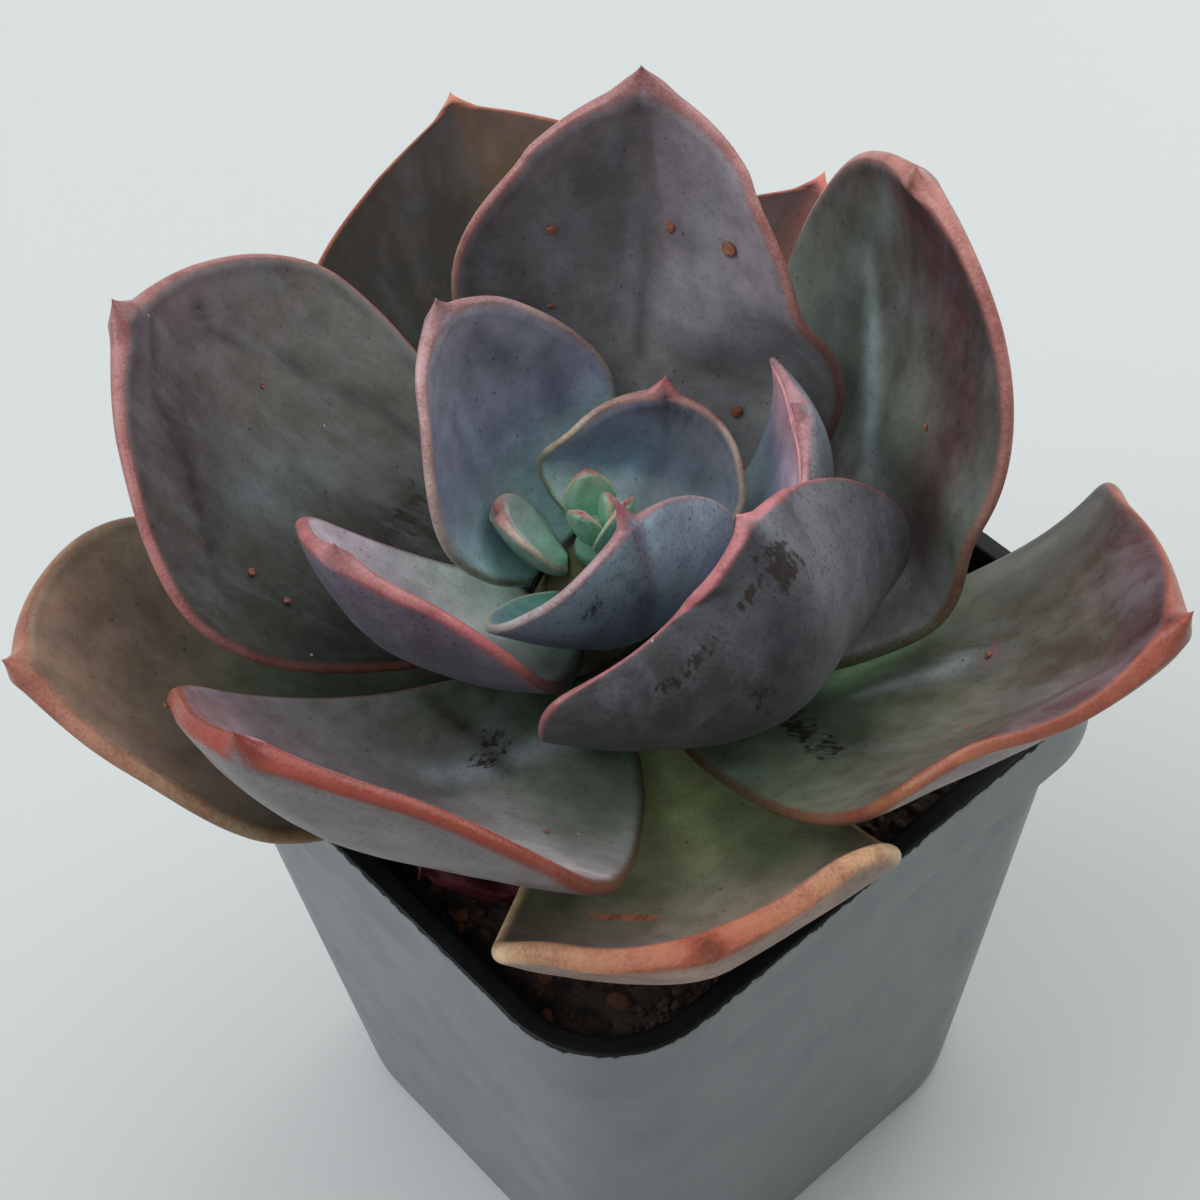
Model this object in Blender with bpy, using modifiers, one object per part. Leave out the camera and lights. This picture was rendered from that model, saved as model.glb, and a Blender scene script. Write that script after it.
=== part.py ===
"""Potted echeveria: a rosette of fleshy leaves on a short stem, in a square nursery pot.

Sizes are in millimetres and angles in degrees. The pot's foot rests on z = 0 with its middle at the
origin, and its sides face X and Y.
"""
import math
from collections import namedtuple

import bmesh
import bpy
import numpy as np
from mathutils import Vector
from mathutils.bvhtree import BVHTree

MM = 0.001
GAP = 0.3                       # clearance between pieces that touch

# Pot
POT_HEIGHT = 72.0
POT_FOOT_SIDE = 55.0
POT_TOP_SIDE = 70.0
FOOT_CORNER = 13.0
TOP_CORNER = 11.5
BAND_HEIGHT = 8.7               # the thicker band around the rim
BAND_STEP = 1.6                 # how far the band stands out of the wall
LIP = 2.2                       # width of the rim seen from above
WALL = 1.2
FLOOR = 1.6
DRAIN_RADIUS = 3.5
DRAIN_OFFSET = 15.0
CORNER_STEPS = 7

# Soil
SOIL_TOP = 66.0
SOIL_SWELL = 0.5
SOIL_RINGS = 6
SOIL_SIDE_STEPS = 4
STEM_HOLE_DEPTH = 15.0

# Stem: radius and height, from its buried end to the crown that bears the leaves
AXIS = (-2.0, -1.5)
STEM_RADIUS = 4.6
STEM_PROFILE = ((0, 53), (3, 53.5), (4.3, 56), (STEM_RADIUS, 64), (STEM_RADIUS, 67.2), (7.4, 70.5), (7.4, 74),
                (6.8, 77), (5.6, 80), (4.2, 82.5), (2.8, 84.3), (1.6, 85.2), (0, 85.2))
STEM_TURNS = 24

# Leaves stand in a spiral. Each next older leaf sits lower on the crown.
SPIRAL_PLACES = 18
LOWEST_BASE = 70.5
CROWN_RISE = 13.0

# turn: heading of the leaf's foot, from +X towards +Y. sweep: how far the heading swings by the tip.
# rise: slope of the midrib at foot and tip. curl: above 1 the slope changes late. roll: tilt about
# the midrib at foot and tip. fold: bend beside the midrib. cup: bend across the left and right half.
# widest: where along the leaf it is widest. notch: how far the shoulders run ahead of the midrib.
# blunt: how square the shoulders are. cusp: length of the pointed tip.
Leaf = namedtuple("Leaf", "name place turn sweep length width rise curl roll fold cup widest notch blunt cusp")
LEAVES = (
    Leaf("leaf_young_1", 0, 235, 5, 12.5, 8.5, (34, 82), 1.0, (2, 4), (10, 14), (30, 25), 0.54, 0.5, 2.2, 1.5),
    Leaf("leaf_young_2", 1, 104, -5, 18.5, 22.5, (45, 73), 1.0, (4, 47), (10, 28), (35, 23), 0.52, 1.5, 1.7, 2.0),
    Leaf("leaf_young_3", 2, 326, 40, 33, 27, (18, 127), 1.2, (-9, 16), (10, 11), (22, 36), 0.51, 1.0, 1.7, 3.0),
    Leaf("leaf_inner_1", 3, 195, 3, 33, 28, (44, 92), 1.0, (-5, 1), (10, 13), (25, 33), 0.47, 2.5, 1.6, 2.5),
    Leaf("leaf_inner_2", 4, 39, 18, 36.5, 28, (9, 125), 1.2, (-7, 1), (0, 9), (13, 21), 0.63, 2.0, 2.3, 2.0),
    Leaf("leaf_inner_3", 5, 269, 5, 41.5, 28, (10, 92), 1.0, (-5, 5), (10, 12), (19, 13), 0.60, 0.0, 1.6, 2.0),
    Leaf("leaf_wide_1", 6, 123, -3, 52.5, 36.5, (38, 101), 1.0, (-7, 8), (5, 21), (19, 30), 0.55, 0.5, 1.9, 3.5),
    Leaf("leaf_inner_4", 7, 347, 40, 53.5, 43.5, (-3, 138), 1.2, (-7, -18), (-5, 39), (6, 19), 0.52, -0.5, 1.8, 1.5),
    Leaf("leaf_wide_2", 8, 212, 13, 55.5, 44, (6, 80), 1.0, (-2, -6), (5, 1), (14, 18), 0.60, 0.5, 1.6, 3.0),
    Leaf("leaf_wide_3", 9, 68, -4, 59.5, 39.5, (13, 108), 1.0, (-4, 10), (0, -7), (12, 17), 0.59, 1.5, 1.6, 2.0),
    Leaf("leaf_wide_4", 10, 299, -32, 66.5, 39.5, (-9, 82), 0.8, (-16, 25), (0, 10), (6, 22), 0.65, 0.5, 1.6, 3.0),
    Leaf("leaf_old_1", 11, 153, 0, 59, 41, (23, 17), 1.0, (4, -15), (5, -5), (17, 15), 0.60, -2.0, 1.6, 3.0),
    Leaf("leaf_wide_5", 12, 21, -3, 64, 43, (4, 73), 1.4, (-12, 6), (-15, 36), (-9, 8), 0.67, -4.0, 2.7, 3.0),
    Leaf("leaf_old_2", 13, 241, 18, 58, 41, (-3, 63), 1.4, (-3, -1), (5, 7), (13, 17), 0.63, -0.5, 1.9, 3.0),
    Leaf("leaf_old_3", 14, 112, -1, 52, 34.5, (19, 21), 1.0, (0, -9), (5, -1), (16, 18), 0.61, -0.5, 2.0, 3.0),
    Leaf("leaf_old_4", 15, 339, -26, 55.5, 36, (-5, 82), 1.7, (-13, 23), (-10, 17), (7, 19), 0.74, 0.5, 2.7, 2.0),
    Leaf("leaf_old_5", 18, 285, 5, 28.5, 19, (-22, 5), 0.6, (0, 6), (0, 0), (2, 2), 0.62, 0.5, 2.2, 2.0),
)
# One row for each age: where the midrib starts beside the stem's axis, the foot's width over the
# widest place, and the thickness at the margin and at the midrib.
Age = namedtuple("Age", "start foot margin midrib")
AGES = {
    "heart": Age(0.8, 0.45, 0.9, 1.4),
    "young": Age(2.5, 0.45, 1.5, 2.2),
    "inner": Age(3.0, 0.40, 1.9, 2.8),
    "wide": Age(4.0, 0.35, 2.3, 3.2),
    "old": Age(4.0, 0.35, 2.4, 3.0),
}
NECK = 0.22                     # share of the leaf's length that narrows to its foot
NECK_WIDTH = 0.45               # width left at the foot, over the unnarrowed width
MUCRO = 0.2                     # half width of the pointed tip where it starts, over the leaf's
TIP_RADIUS = 0.25               # half width of the last section before the point
LEAF_RINGS = 12
ACROSS = (0.4, 0.75)            # places of the points across each half's flat
MARGIN_ANGLES = (90, 45, 0, -45, -90)
LEAF_SEAM = 17                  # the section's point at the right margin

# Bending older leaves clear of younger ones
BEND_REACH = 9.0
BEND_GAP = 0.5
BEND_GRID = (41, 21)
BEND_TRIES = 12
BEND_STEP = 0.3
FOOT_ROWS = 2                   # rows of the grid that sink as one, with the leaf's foot

# Heart: the smallest leaves, grown together
HEART_LEAVES = (                # turn, length, width, slope at the foot, height of the foot on the core
    (12, 8.5, 6.0, 52, 0.9),
    (150, 7.0, 5.0, 58, 1.4),
    (287, 5.5, 4.2, 64, 2.0),
    (65, 4.5, 3.4, 70, 2.5),
)
HEART_BASE = 85.5
HEART_CORE = (2.2, 4.0)         # radius and height


def clear_scene():
    for thing in list(bpy.data.objects):
        bpy.data.objects.remove(thing, do_unlink=True)


def linear(hex_colour):
    """Linear colour values of an sRGB hex colour."""
    values = [int(hex_colour[k:k + 2], 16) / 255 for k in (1, 3, 5)]
    return [v / 12.92 if v <= 0.04045 else ((v + 0.055) / 1.055) ** 2.4 for v in values] + [1.0]


def material(name, hex_colour, roughness):
    made = bpy.data.materials.new(name)
    made.use_nodes = True
    shader = made.node_tree.nodes["Principled BSDF"]
    shader.inputs["Base Color"].default_value = linear(hex_colour)
    shader.inputs["Roughness"].default_value = roughness
    shader.inputs["Metallic"].default_value = 0.0
    return made


def add_object(name, mesh, look, collection):
    made = bpy.data.objects.new(name, mesh)
    if look is not None:
        mesh.materials.append(look)
    collection.objects.link(made)
    return made


def mesh_from(name, points, faces):
    """A mesh in metres with its faces turned outwards."""
    mesh = bpy.data.meshes.new(name)
    mesh.from_pydata([tuple(p) for p in np.asarray(points) * MM], [], faces)
    shape = bmesh.new()
    shape.from_mesh(mesh)
    bmesh.ops.recalc_face_normals(shape, faces=shape.faces)
    shape.to_mesh(mesh)
    shape.free()
    return mesh


def skin(rings, tip=None, seam=None):
    """Points and triangles of a closed solid over a stack of rings.

    Its ends are fanned shut, the last one to the tip if there is one. A seam is the place around
    the ring where a strip across the first ring starts instead, for sections that are hollow.
    """
    count = len(rings[0])
    ends = [] if seam is not None else [rings[0].mean(0)]
    points = np.vstack(rings + ends + [rings[-1].mean(0) if tip is None else tip])
    high_end = len(points) - 1
    top = (len(rings) - 1) * count
    faces = []
    for j in range(count):
        k = (j + 1) % count
        for row in range(0, top, count):
            faces.append((row + j, row + k, row + k + count))
            faces.append((row + j, row + k + count, row + j + count))
        if seam is None:
            faces.append((high_end - 1, k, j))
        faces.append((high_end, top + j, top + k))
    if seam is not None:
        for j in range(count // 2):
            near, far = (seam + j) % count, (seam + j + 1) % count
            back, next_back = (seam - j) % count, (seam - j - 1) % count
            if near != back:
                faces.append((near, back, far))
            if far != next_back:
                faces.append((far, back, next_back))
    return points, faces


def cut(target, tool, operation="DIFFERENCE"):
    """Apply one Boolean and drop its tool."""
    step = target.modifiers.new(operation.title(), "BOOLEAN")
    step.solver = "EXACT"
    step.operation = operation
    step.use_self = operation == "UNION"
    step.object = tool
    bpy.context.view_layer.update()
    with bpy.context.temp_override(object=target, active_object=target):
        bpy.ops.object.modifier_apply(modifier=step.name)
    bpy.data.objects.remove(tool, do_unlink=True)


# Pot


def square(side, corner, z, side_steps=1):
    """A square ring with rounded corners. side_steps splits its straight sides."""
    points = []
    inner = side / 2 - corner
    for quarter in range(4):
        middle = math.radians(45 + 90 * quarter)
        centre = (math.copysign(inner, math.cos(middle)), math.copysign(inner, math.sin(middle)))
        for step in range(CORNER_STEPS + 1):
            angle = math.radians(90 * quarter + 90 * step / CORNER_STEPS)
            points.append((centre[0] + corner * math.cos(angle), centre[1] + corner * math.sin(angle), z))
        run = 2 * inner * math.cos(angle), 2 * inner * math.sin(angle)
        last = points[-1]
        for step in range(1, side_steps):
            points.append((last[0] - run[1] * step / side_steps, last[1] + run[0] * step / side_steps, z))
    return np.array(points)


def wall_side(z):
    """Outer width of the wall, below the band."""
    top = POT_TOP_SIDE - 2 * BAND_STEP - 1.2
    return POT_FOOT_SIDE + (top - POT_FOOT_SIDE) * z / (POT_HEIGHT - BAND_HEIGHT)


def cavity_side(z):
    """Width of the space inside the pot."""
    low = POT_FOOT_SIDE - 2 * WALL
    high = POT_TOP_SIDE - 2 * LIP
    return low + (high - low) * z / POT_HEIGHT


def corner_at(z):
    return FOOT_CORNER + (TOP_CORNER - FOOT_CORNER) * z / POT_HEIGHT


def build_pot(collection, workshop):
    look = material("pot_plastic", "#6b7072", 0.38)
    band_foot = POT_HEIGHT - BAND_HEIGHT
    wall_rings = [square(wall_side(0) - 1.4, corner_at(0) - 0.7, 0)]
    wall_rings += [square(wall_side(z), corner_at(z) - 1, z) for z in (0.8, band_foot + 1)]
    pot = add_object("pot", mesh_from("pot", *skin(wall_rings)), look, collection)
    band_sections = ((0, 1.2), (0.6, 0.6), (BAND_HEIGHT - 0.5, 0), (BAND_HEIGHT, 0.8))
    band_rings = [square(POT_TOP_SIDE - slim, TOP_CORNER - slim / 2, band_foot + rise)
                  for rise, slim in band_sections]
    cut(pot, add_object("band", mesh_from("band", *skin(band_rings)), None, workshop), "UNION")
    cavity_rings = [square(cavity_side(z), corner_at(z) - LIP, z) for z in (FLOOR, POT_HEIGHT)]
    cavity_rings.append(cavity_rings[-1] + (0, 0, 1))
    cut(pot, add_object("cavity", mesh_from("cavity", *skin(cavity_rings)), None, workshop))
    for x in (-DRAIN_OFFSET, DRAIN_OFFSET):
        for y in (-DRAIN_OFFSET, DRAIN_OFFSET):
            bpy.ops.mesh.primitive_cylinder_add(
                vertices=20, radius=DRAIN_RADIUS * MM, depth=4 * FLOOR * MM, location=(x * MM, y * MM, 0))
            cut(pot, bpy.context.object)
    return pot


# Soil


def soil_height(x, y):
    """The soil's uneven top."""
    return SOIL_TOP + SOIL_SWELL * (np.sin(0.21 * x + 0.6) * np.cos(0.17 * y) + 0.4 * np.sin(0.4 * x - 0.33 * y))


def build_soil(collection):
    look = material("soil_peat", "#1d1613", 0.95)
    rings = [square(cavity_side(z) - 2 * GAP, corner_at(z) - LIP, z, SOIL_SIDE_STEPS)
             for z in (FLOOR + GAP, SOIL_TOP - 1.5)]
    edge = square(cavity_side(SOIL_TOP) - 2 * GAP, corner_at(SOIL_TOP) - LIP, SOIL_TOP, SOIL_SIDE_STEPS)
    for share in np.linspace(1, 0.12, SOIL_RINGS):
        ring = edge * share
        ring[:, 2] = soil_height(ring[:, 0], ring[:, 1])
        rings.append(ring)
    soil = add_object("soil", mesh_from("soil", *skin(rings)), look, collection)
    bpy.ops.mesh.primitive_cylinder_add(
        vertices=STEM_TURNS, radius=(STEM_RADIUS + GAP) * MM / math.cos(math.pi / STEM_TURNS),
        depth=2 * STEM_HOLE_DEPTH * MM, location=(AXIS[0] * MM, AXIS[1] * MM, SOIL_TOP * MM))
    cut(soil, bpy.context.object)
    return soil


# Stem


def build_stem(collection):
    look = material("stem_skin", "#5c5a44", 0.7)
    mesh = bpy.data.meshes.new("stem")
    points = [(radius * MM, 0, z * MM) for radius, z in STEM_PROFILE]
    mesh.from_pydata(points, [(k, k + 1) for k in range(len(points) - 1)], [])
    stem = add_object("stem", mesh, look, collection)
    turned = stem.modifiers.new("Turned", "SCREW")
    turned.angle = math.tau
    turned.steps = STEM_TURNS
    turned.render_steps = STEM_TURNS
    turned.use_merge_vertices = True
    turned.merge_threshold = 0.01 * MM
    turned.use_normal_calculate = True
    stem.location = (AXIS[0] * MM, AXIS[1] * MM, 0)
    return stem


# Leaves


def age_of(leaf):
    return AGES[leaf.name.split("_")[1]]


def base_height(leaf):
    return LOWEST_BASE + CROWN_RISE * (1 - leaf.place / SPIRAL_PLACES) ** 1.5


def blend(pair, t):
    return pair[0] + (pair[1] - pair[0]) * t


def half_width(leaf, t):
    """Half the leaf's width at t along it, 0 at its foot and 1 at its tip."""
    foot = age_of(leaf).foot
    lower = foot + (1 - foot) * np.sin(np.pi / 2 * np.clip(t / leaf.widest, 0, 1)) ** 1.35
    shoulder = np.clip((t - leaf.widest) / (1 - leaf.cusp / leaf.length - leaf.widest), 0, 1)
    upper = (1 - shoulder ** leaf.blunt) ** (1 / 1.6)
    cusp_share = 2.4 * leaf.cusp / leaf.length
    mucro = np.where(t > 1 - cusp_share, MUCRO * np.clip((1 - t) / cusp_share, 0, 1) ** 1.4, 0)
    body = np.where(t < leaf.widest, lower, np.maximum(upper, mucro))
    neck = 1 - (1 - NECK_WIDTH) * np.clip(1 - t / NECK, 0, 1) ** 2
    return leaf.width / 2 * body * neck


def half_thickness(leaf, t, s):
    """Half the leaf's thickness at t along it and s across it, from -1 to 1."""
    age = age_of(leaf)
    width = half_width(leaf, t)
    margin = np.minimum(age.margin / 2 * np.clip(0.4 + 2 * t, 0, 1), 0.35 * width)
    midrib = (age.margin + (age.midrib - age.margin) * np.clip(1.25 - t, 0, 1)) / 2
    midrib = np.minimum(midrib, 0.6 * width)
    return margin + (midrib - margin) * (1 - s ** 2)


def read_grid(grid, t, s):
    """Values of an even grid at places t (0 to 1) and s (-1 to 1), smoothly between its points."""
    def taps(place, last):
        first = np.clip(np.floor(place).astype(int), 0, last - 1)
        f = place - first
        weights = ((2 * f - 1 - f * f) * f / 2, (3 * f - 5) * f * f / 2 + 1, ((4 - 3 * f) * f + 1) * f / 2,
                   (f - 1) * f * f / 2)
        return [(np.clip(first + k - 1, 0, last), weights[k]) for k in range(4)]
    rows, columns = grid.shape[:2]
    total = 0
    for row, row_weight in taps(t * (rows - 1), rows - 1):
        for column, column_weight in taps((s + 1) / 2 * (columns - 1), columns - 1):
            total = total + grid[row, column] * (row_weight * column_weight)[..., None]
    return total


def sheet(leaf, t, s, push=None):
    """Points of the leaf's middle surface. t and s are arrays of one shape."""
    age = age_of(leaf)
    fine = np.linspace(0, 1, 161)
    heading = np.radians(leaf.turn + leaf.sweep * fine)
    slope = np.radians(blend(leaf.rise, fine ** leaf.curl))
    along = np.stack([np.cos(heading) * np.cos(slope), np.sin(heading) * np.cos(slope), np.sin(slope)], 1)
    steps = (along[1:] + along[:-1]) / 2 * leaf.length / (len(fine) - 1)
    midrib = np.vstack([np.zeros(3), np.cumsum(steps, 0)])
    start = math.radians(leaf.turn)
    midrib += (AXIS[0] + age.start * math.cos(start), AXIS[1] + age.start * math.sin(start), base_height(leaf))
    left = np.stack([-np.sin(heading), np.cos(heading), 0 * heading], 1)
    up = np.cross(along, left)
    roll = np.radians(blend(leaf.roll, fine))[:, None]
    left, up = left * np.cos(roll) + up * np.sin(roll), up * np.cos(roll) - left * np.sin(roll)

    def at(values):
        return np.stack([np.interp(t, fine, values[:, k]) for k in range(3)], -1)

    # The section bends away from the midrib: its slope is summed outwards to each place across.
    part = (np.arange(24) + 0.5) / 24
    reach = np.abs(s)[..., None] * part
    cup = np.where(s > 0, leaf.cup[0], leaf.cup[1])[..., None]
    flatter = np.clip((1 - t) * leaf.length / (3 * leaf.cusp), 0, 1)[..., None]
    bend = flatter * np.radians(blend(leaf.fold, t)[..., None] * np.tanh(reach / 0.12) + cup * reach)
    width = half_width(leaf, t)
    out = (np.cos(bend).mean(-1) * s * width)[..., None]
    rise = (np.sin(bend).mean(-1) * np.abs(s) * width)[..., None]
    ramp = np.clip((t - 0.5) / 0.35, 0, 1) ** 2
    ahead = (leaf.notch * np.abs(s) ** 1.5 * width / (leaf.width / 2) * ramp)[..., None]
    points = at(midrib) + at(along) * ahead + at(left) * out + at(up) * rise
    if push is not None:
        points = points + read_grid(push, t, s)
    return points


def sheet_normals(leaf, t, s, push=None):
    """Unit normals of the middle surface, out of the leaf's upper face."""
    step = 0.01
    ahead, behind = np.clip(t + step, 0, 0.99), np.clip(t - step, 0, 0.97)
    left, right = np.clip(s + 0.05, -1, 1), np.clip(s - 0.05, -1, 1)
    along = sheet(leaf, ahead, s, push) - sheet(leaf, behind, s, push)
    across = sheet(leaf, t, left, push) - sheet(leaf, t, right, push)
    normal = np.cross(along, across)
    return normal / np.linalg.norm(normal, axis=-1, keepdims=True)


def leaf_ring(leaf, t, push):
    """One closed section of the leaf: over the top from right to left, around the margin and back."""
    width = half_width(leaf, np.array([t]))[0]
    edge = half_thickness(leaf, np.array([t]), np.array([1.0]))[0]
    centre = 1 - edge / width
    flat = [-centre * a for a in reversed(ACROSS)] + [0.0] + [centre * a for a in ACROSS]
    places, heights = [], []
    for angle in np.radians(MARGIN_ANGLES):
        places.append(centre + edge / width * math.cos(angle))
        heights.append(math.sin(angle))
    s = np.array(flat + places + flat[::-1] + [-p for p in places[::-1]])
    lift = np.array([1.0] * 5 + heights + [-1.0] * 5 + heights[::-1])
    t = np.full(len(s), t)
    return sheet(leaf, t, s, push) + sheet_normals(leaf, t, s, push) * (lift * half_thickness(leaf, t, s))[:, None]


def leaf_solid(leaf, push, start, count=LEAF_RINGS):
    """Rings run closer together towards the tip, where the outline turns faster."""
    along = np.linspace(0.8, 1, 200)
    last = along[half_width(leaf, along) > min(TIP_RADIUS, leaf.width * MUCRO / 4)][-1]
    u = np.linspace(1, ((1 - last) / (1 - start)) ** (1 / 1.7), count)
    stations = 1 - (1 - start) * u ** 1.7
    tip = sheet(leaf, np.array([1.0]), np.array([0.0]), push)[0]
    return skin([leaf_ring(leaf, t, push) for t in stations], tip, seam=LEAF_SEAM)


def tree_of(solids):
    points, faces = [], []
    for solid_points, solid_faces in solids:
        faces += [tuple(k + len(points) for k in face) for face in solid_faces]
        points += [tuple(p) for p in solid_points]
    return BVHTree.FromPolygons(points, faces)


def spread(need):
    """Widen each push to its neighbours, then smooth it."""
    grid = np.pad(need, 2, mode="edge")
    rows, columns = need.shape
    grid = np.max([grid[a:a + rows, b:b + columns] for a in range(5) for b in range(5)], 0)
    for _ in range(4):
        grid = np.pad(grid, 1, mode="edge")
        grid = (grid[:-2] + 2 * grid[1:-1] + grid[2:]) / 4
        grid = (grid[:, :-2] + 2 * grid[:, 1:-1] + grid[:, 2:]) / 4
    return grid


def ground(points):
    """Height that a leaf's underside keeps above: the soil, and the pot's rim around it."""
    reach = np.max(np.abs(points[..., :2]), -1)
    inside = reach < POT_TOP_SIDE / 2 - LIP - 2.5
    over_rim = ~inside & (reach < POT_TOP_SIDE / 2 + 2)
    height = np.where(inside, soil_height(points[..., 0], points[..., 1]), -100.0)
    return np.where(over_rim, POT_HEIGHT, height) + BEND_GAP


def bend_grid():
    t, s = np.meshgrid(np.linspace(0, 1, BEND_GRID[0]), np.linspace(-1, 1, BEND_GRID[1]), indexing="ij")
    return np.clip(t, 0, 0.985), s


def depth_needed(leaf, younger):
    """How deep each place of the leaf has to sink to pass below the younger leaves."""
    t, s = bend_grid()
    thick = half_thickness(leaf, t, s)
    points, normals = sheet(leaf, t, s), sheet_normals(leaf, t, s)
    need = np.zeros(t.shape)
    for place in np.ndindex(t.shape):
        reach = BEND_REACH + thick[place] + BEND_GAP
        origin = Vector(points[place] - normals[place] * BEND_REACH)
        distance = younger.ray_cast(origin, Vector(normals[place]), reach)[3]
        if distance is not None:
            need[place] = reach - distance
    return need


def push_of(leaf, need):
    """The move of each place that sinks it as deep as needed, its foot as one, and above the ground."""
    t, s = bend_grid()
    push = -sheet_normals(leaf, t, s) * spread(need)[..., None]
    foot = push[FOOT_ROWS].mean(0)
    for row in range(FOOT_ROWS):
        push[row] = foot + (push[FOOT_ROWS] - foot) * row / FOOT_ROWS
    underside = sheet(leaf, t, s, push) - sheet_normals(leaf, t, s, push) * half_thickness(leaf, t, s)[..., None]
    push[..., 2] += spread(np.clip(ground(underside) - underside[..., 2], 0, None))
    return push


def leaf_start(leaf, push, stem):
    """The place along the leaf where its section first clears the crown by the gap."""
    for t in np.arange(0, 0.4, 0.004):
        ring = leaf_ring(leaf, t, push)
        clearances = []
        for point in np.vstack([ring, ring.mean(0)]):
            nearest, normal = stem.find_nearest(Vector(point))[:2]
            away = Vector(point) - nearest
            clearances.append(math.copysign(away.length, away.dot(normal)))
        if min(clearances) > GAP:
            return t
    return 0.4


def place_leaves(stem, heart):
    """Solids of all leaves, the youngest first, each bent clear of the ones before it."""
    solids = [heart]
    for leaf in LEAVES:
        younger = tree_of(solids)
        need = depth_needed(leaf, younger)
        for _ in range(BEND_TRIES):
            push = push_of(leaf, need)
            points, faces = leaf_solid(leaf, push, leaf_start(leaf, push, stem))
            touching = {pair[0] for pair in tree_of([(points, faces)]).overlap(younger)}
            if not touching:
                break
            grid = sheet(leaf, *bend_grid(), push)
            for face in touching:
                away = np.linalg.norm(grid - points[list(faces[face])].mean(0), axis=-1)
                place = np.unravel_index(away.argmin(), away.shape)
                need[place] = max(need[place], spread(need)[place]) + BEND_STEP
        solids.append((points, faces))
    return solids[1:]


LEAF_COLOURS = {"young": "#5f7d78", "inner": "#55636c", "wide": "#4a4a4b", "old": "#4b4a3f"}
LEAF_ROUGHNESS = 0.5


def build_leaves(solids, collection):
    for leaf, solid in zip(LEAVES, solids):
        look = material(leaf.name + "_skin", LEAF_COLOURS[leaf.name.split("_")[1]], LEAF_ROUGHNESS)
        add_object(leaf.name, mesh_from(leaf.name, *solid), look, collection)


# Heart


def heart_leaf(turn, length, width, slope):
    return Leaf("leaf_heart", 0, turn, 0, length, width, (slope, 88), 1.0, (0, 0), (5, 5), (15, 15), 0.5, 0,
                2.0, length / 20)


def build_heart(collection, workshop):
    """The smallest leaves around a core, joined into one bud."""
    look = material("heart_skin", "#7fae9c", 0.5)
    core = bmesh.new()
    bmesh.ops.create_cone(core, cap_ends=True, segments=16, radius1=HEART_CORE[0] * MM, radius2=0.6 * MM,
                          depth=HEART_CORE[1] * MM)
    bmesh.ops.translate(core, verts=core.verts, vec=(AXIS[0] * MM, AXIS[1] * MM,
                                                     (HEART_BASE + HEART_CORE[1] / 2) * MM))
    mesh = bpy.data.meshes.new("heart_bud")
    core.to_mesh(mesh)
    core.free()
    heart = add_object("heart_bud", mesh, look, collection)
    for turn, length, width, slope, foot in HEART_LEAVES:
        lift = HEART_BASE + foot - LOWEST_BASE - CROWN_RISE
        leaf = heart_leaf(turn, length, width, slope)
        points, faces = leaf_solid(leaf, None, 0.0, count=7)
        mesh = mesh_from("bud_leaf", points + (0, 0, lift), faces)
        cut(heart, add_object("bud_leaf", mesh, None, workshop), "UNION")
    return heart


def solid_of(thing):
    """World points in millimetres and faces of an object with its modifiers."""
    graph = bpy.context.evaluated_depsgraph_get()
    finished = thing.evaluated_get(graph)
    mesh = finished.to_mesh()
    points = [finished.matrix_world @ vertex.co / MM for vertex in mesh.vertices]
    faces = [tuple(face.vertices) for face in mesh.polygons]
    finished.to_mesh_clear()
    return points, faces


def main():
    clear_scene()
    collection = bpy.data.collections.new("Potted echeveria")
    workshop = bpy.data.collections.new("Cutters")
    for group in (collection, workshop):
        bpy.context.scene.collection.children.link(group)
    build_pot(collection, workshop)
    build_soil(collection)
    stem = build_stem(collection)
    heart = build_heart(collection, workshop)
    bpy.context.view_layer.update()
    solids = place_leaves(tree_of([solid_of(stem)]), solid_of(heart))
    build_leaves(solids, collection)


main()
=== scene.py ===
# %% [markdown]
# # Potted echeveria
# A rosette of fleshy leaves on a short stem, in a square nursery pot. The plain solids of the part come
# in as a fixed frame. This lesson dresses each of them: leaves with rounded, coloured margins and a wax
# bloom, a moulded pot, and peat with bark in it. Sizes are in millimetres until a mesh is made.

# %% Frame
import math
from collections import namedtuple
from functools import partial

import bmesh
import bpy
import numpy as np
from mathutils import Matrix, Vector
from mathutils.bvhtree import BVHTree


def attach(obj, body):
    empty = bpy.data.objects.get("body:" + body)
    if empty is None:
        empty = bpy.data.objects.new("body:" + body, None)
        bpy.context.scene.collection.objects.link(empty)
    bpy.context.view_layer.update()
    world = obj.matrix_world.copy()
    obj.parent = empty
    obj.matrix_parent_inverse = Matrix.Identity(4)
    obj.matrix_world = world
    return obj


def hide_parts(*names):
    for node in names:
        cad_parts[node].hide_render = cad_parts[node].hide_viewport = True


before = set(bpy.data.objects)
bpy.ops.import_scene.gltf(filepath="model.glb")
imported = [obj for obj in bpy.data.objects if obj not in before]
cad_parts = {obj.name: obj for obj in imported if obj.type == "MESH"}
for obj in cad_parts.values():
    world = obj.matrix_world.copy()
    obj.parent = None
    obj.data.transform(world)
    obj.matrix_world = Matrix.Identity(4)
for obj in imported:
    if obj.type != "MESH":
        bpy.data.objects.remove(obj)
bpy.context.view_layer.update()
MM = 0.001
scene = bpy.context.scene

# %% [markdown]
# ## Small tools
# A colour picked from a swatch is an sRGB hex value, but a shader works with linear light, so one
# function turns it. Another adds a node with its settings and links, for shaders and for Geometry Nodes.
# A pattern's scale comes from the real size of its grain: on coordinates in metres, a grain of 2 mm
# needs a scale of 500. Every pattern below says its grain in millimetres.

# %% Colours and nodes


def linear(hex_colour):
    """Linear colour values of an sRGB hex colour."""
    values = [int(hex_colour[k:k + 2], 16) / 255 for k in (1, 3, 5)]
    return [v / 12.92 if v <= 0.04045 else ((v + 0.055) / 1.055) ** 2.4 for v in values] + [1.0]


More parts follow.
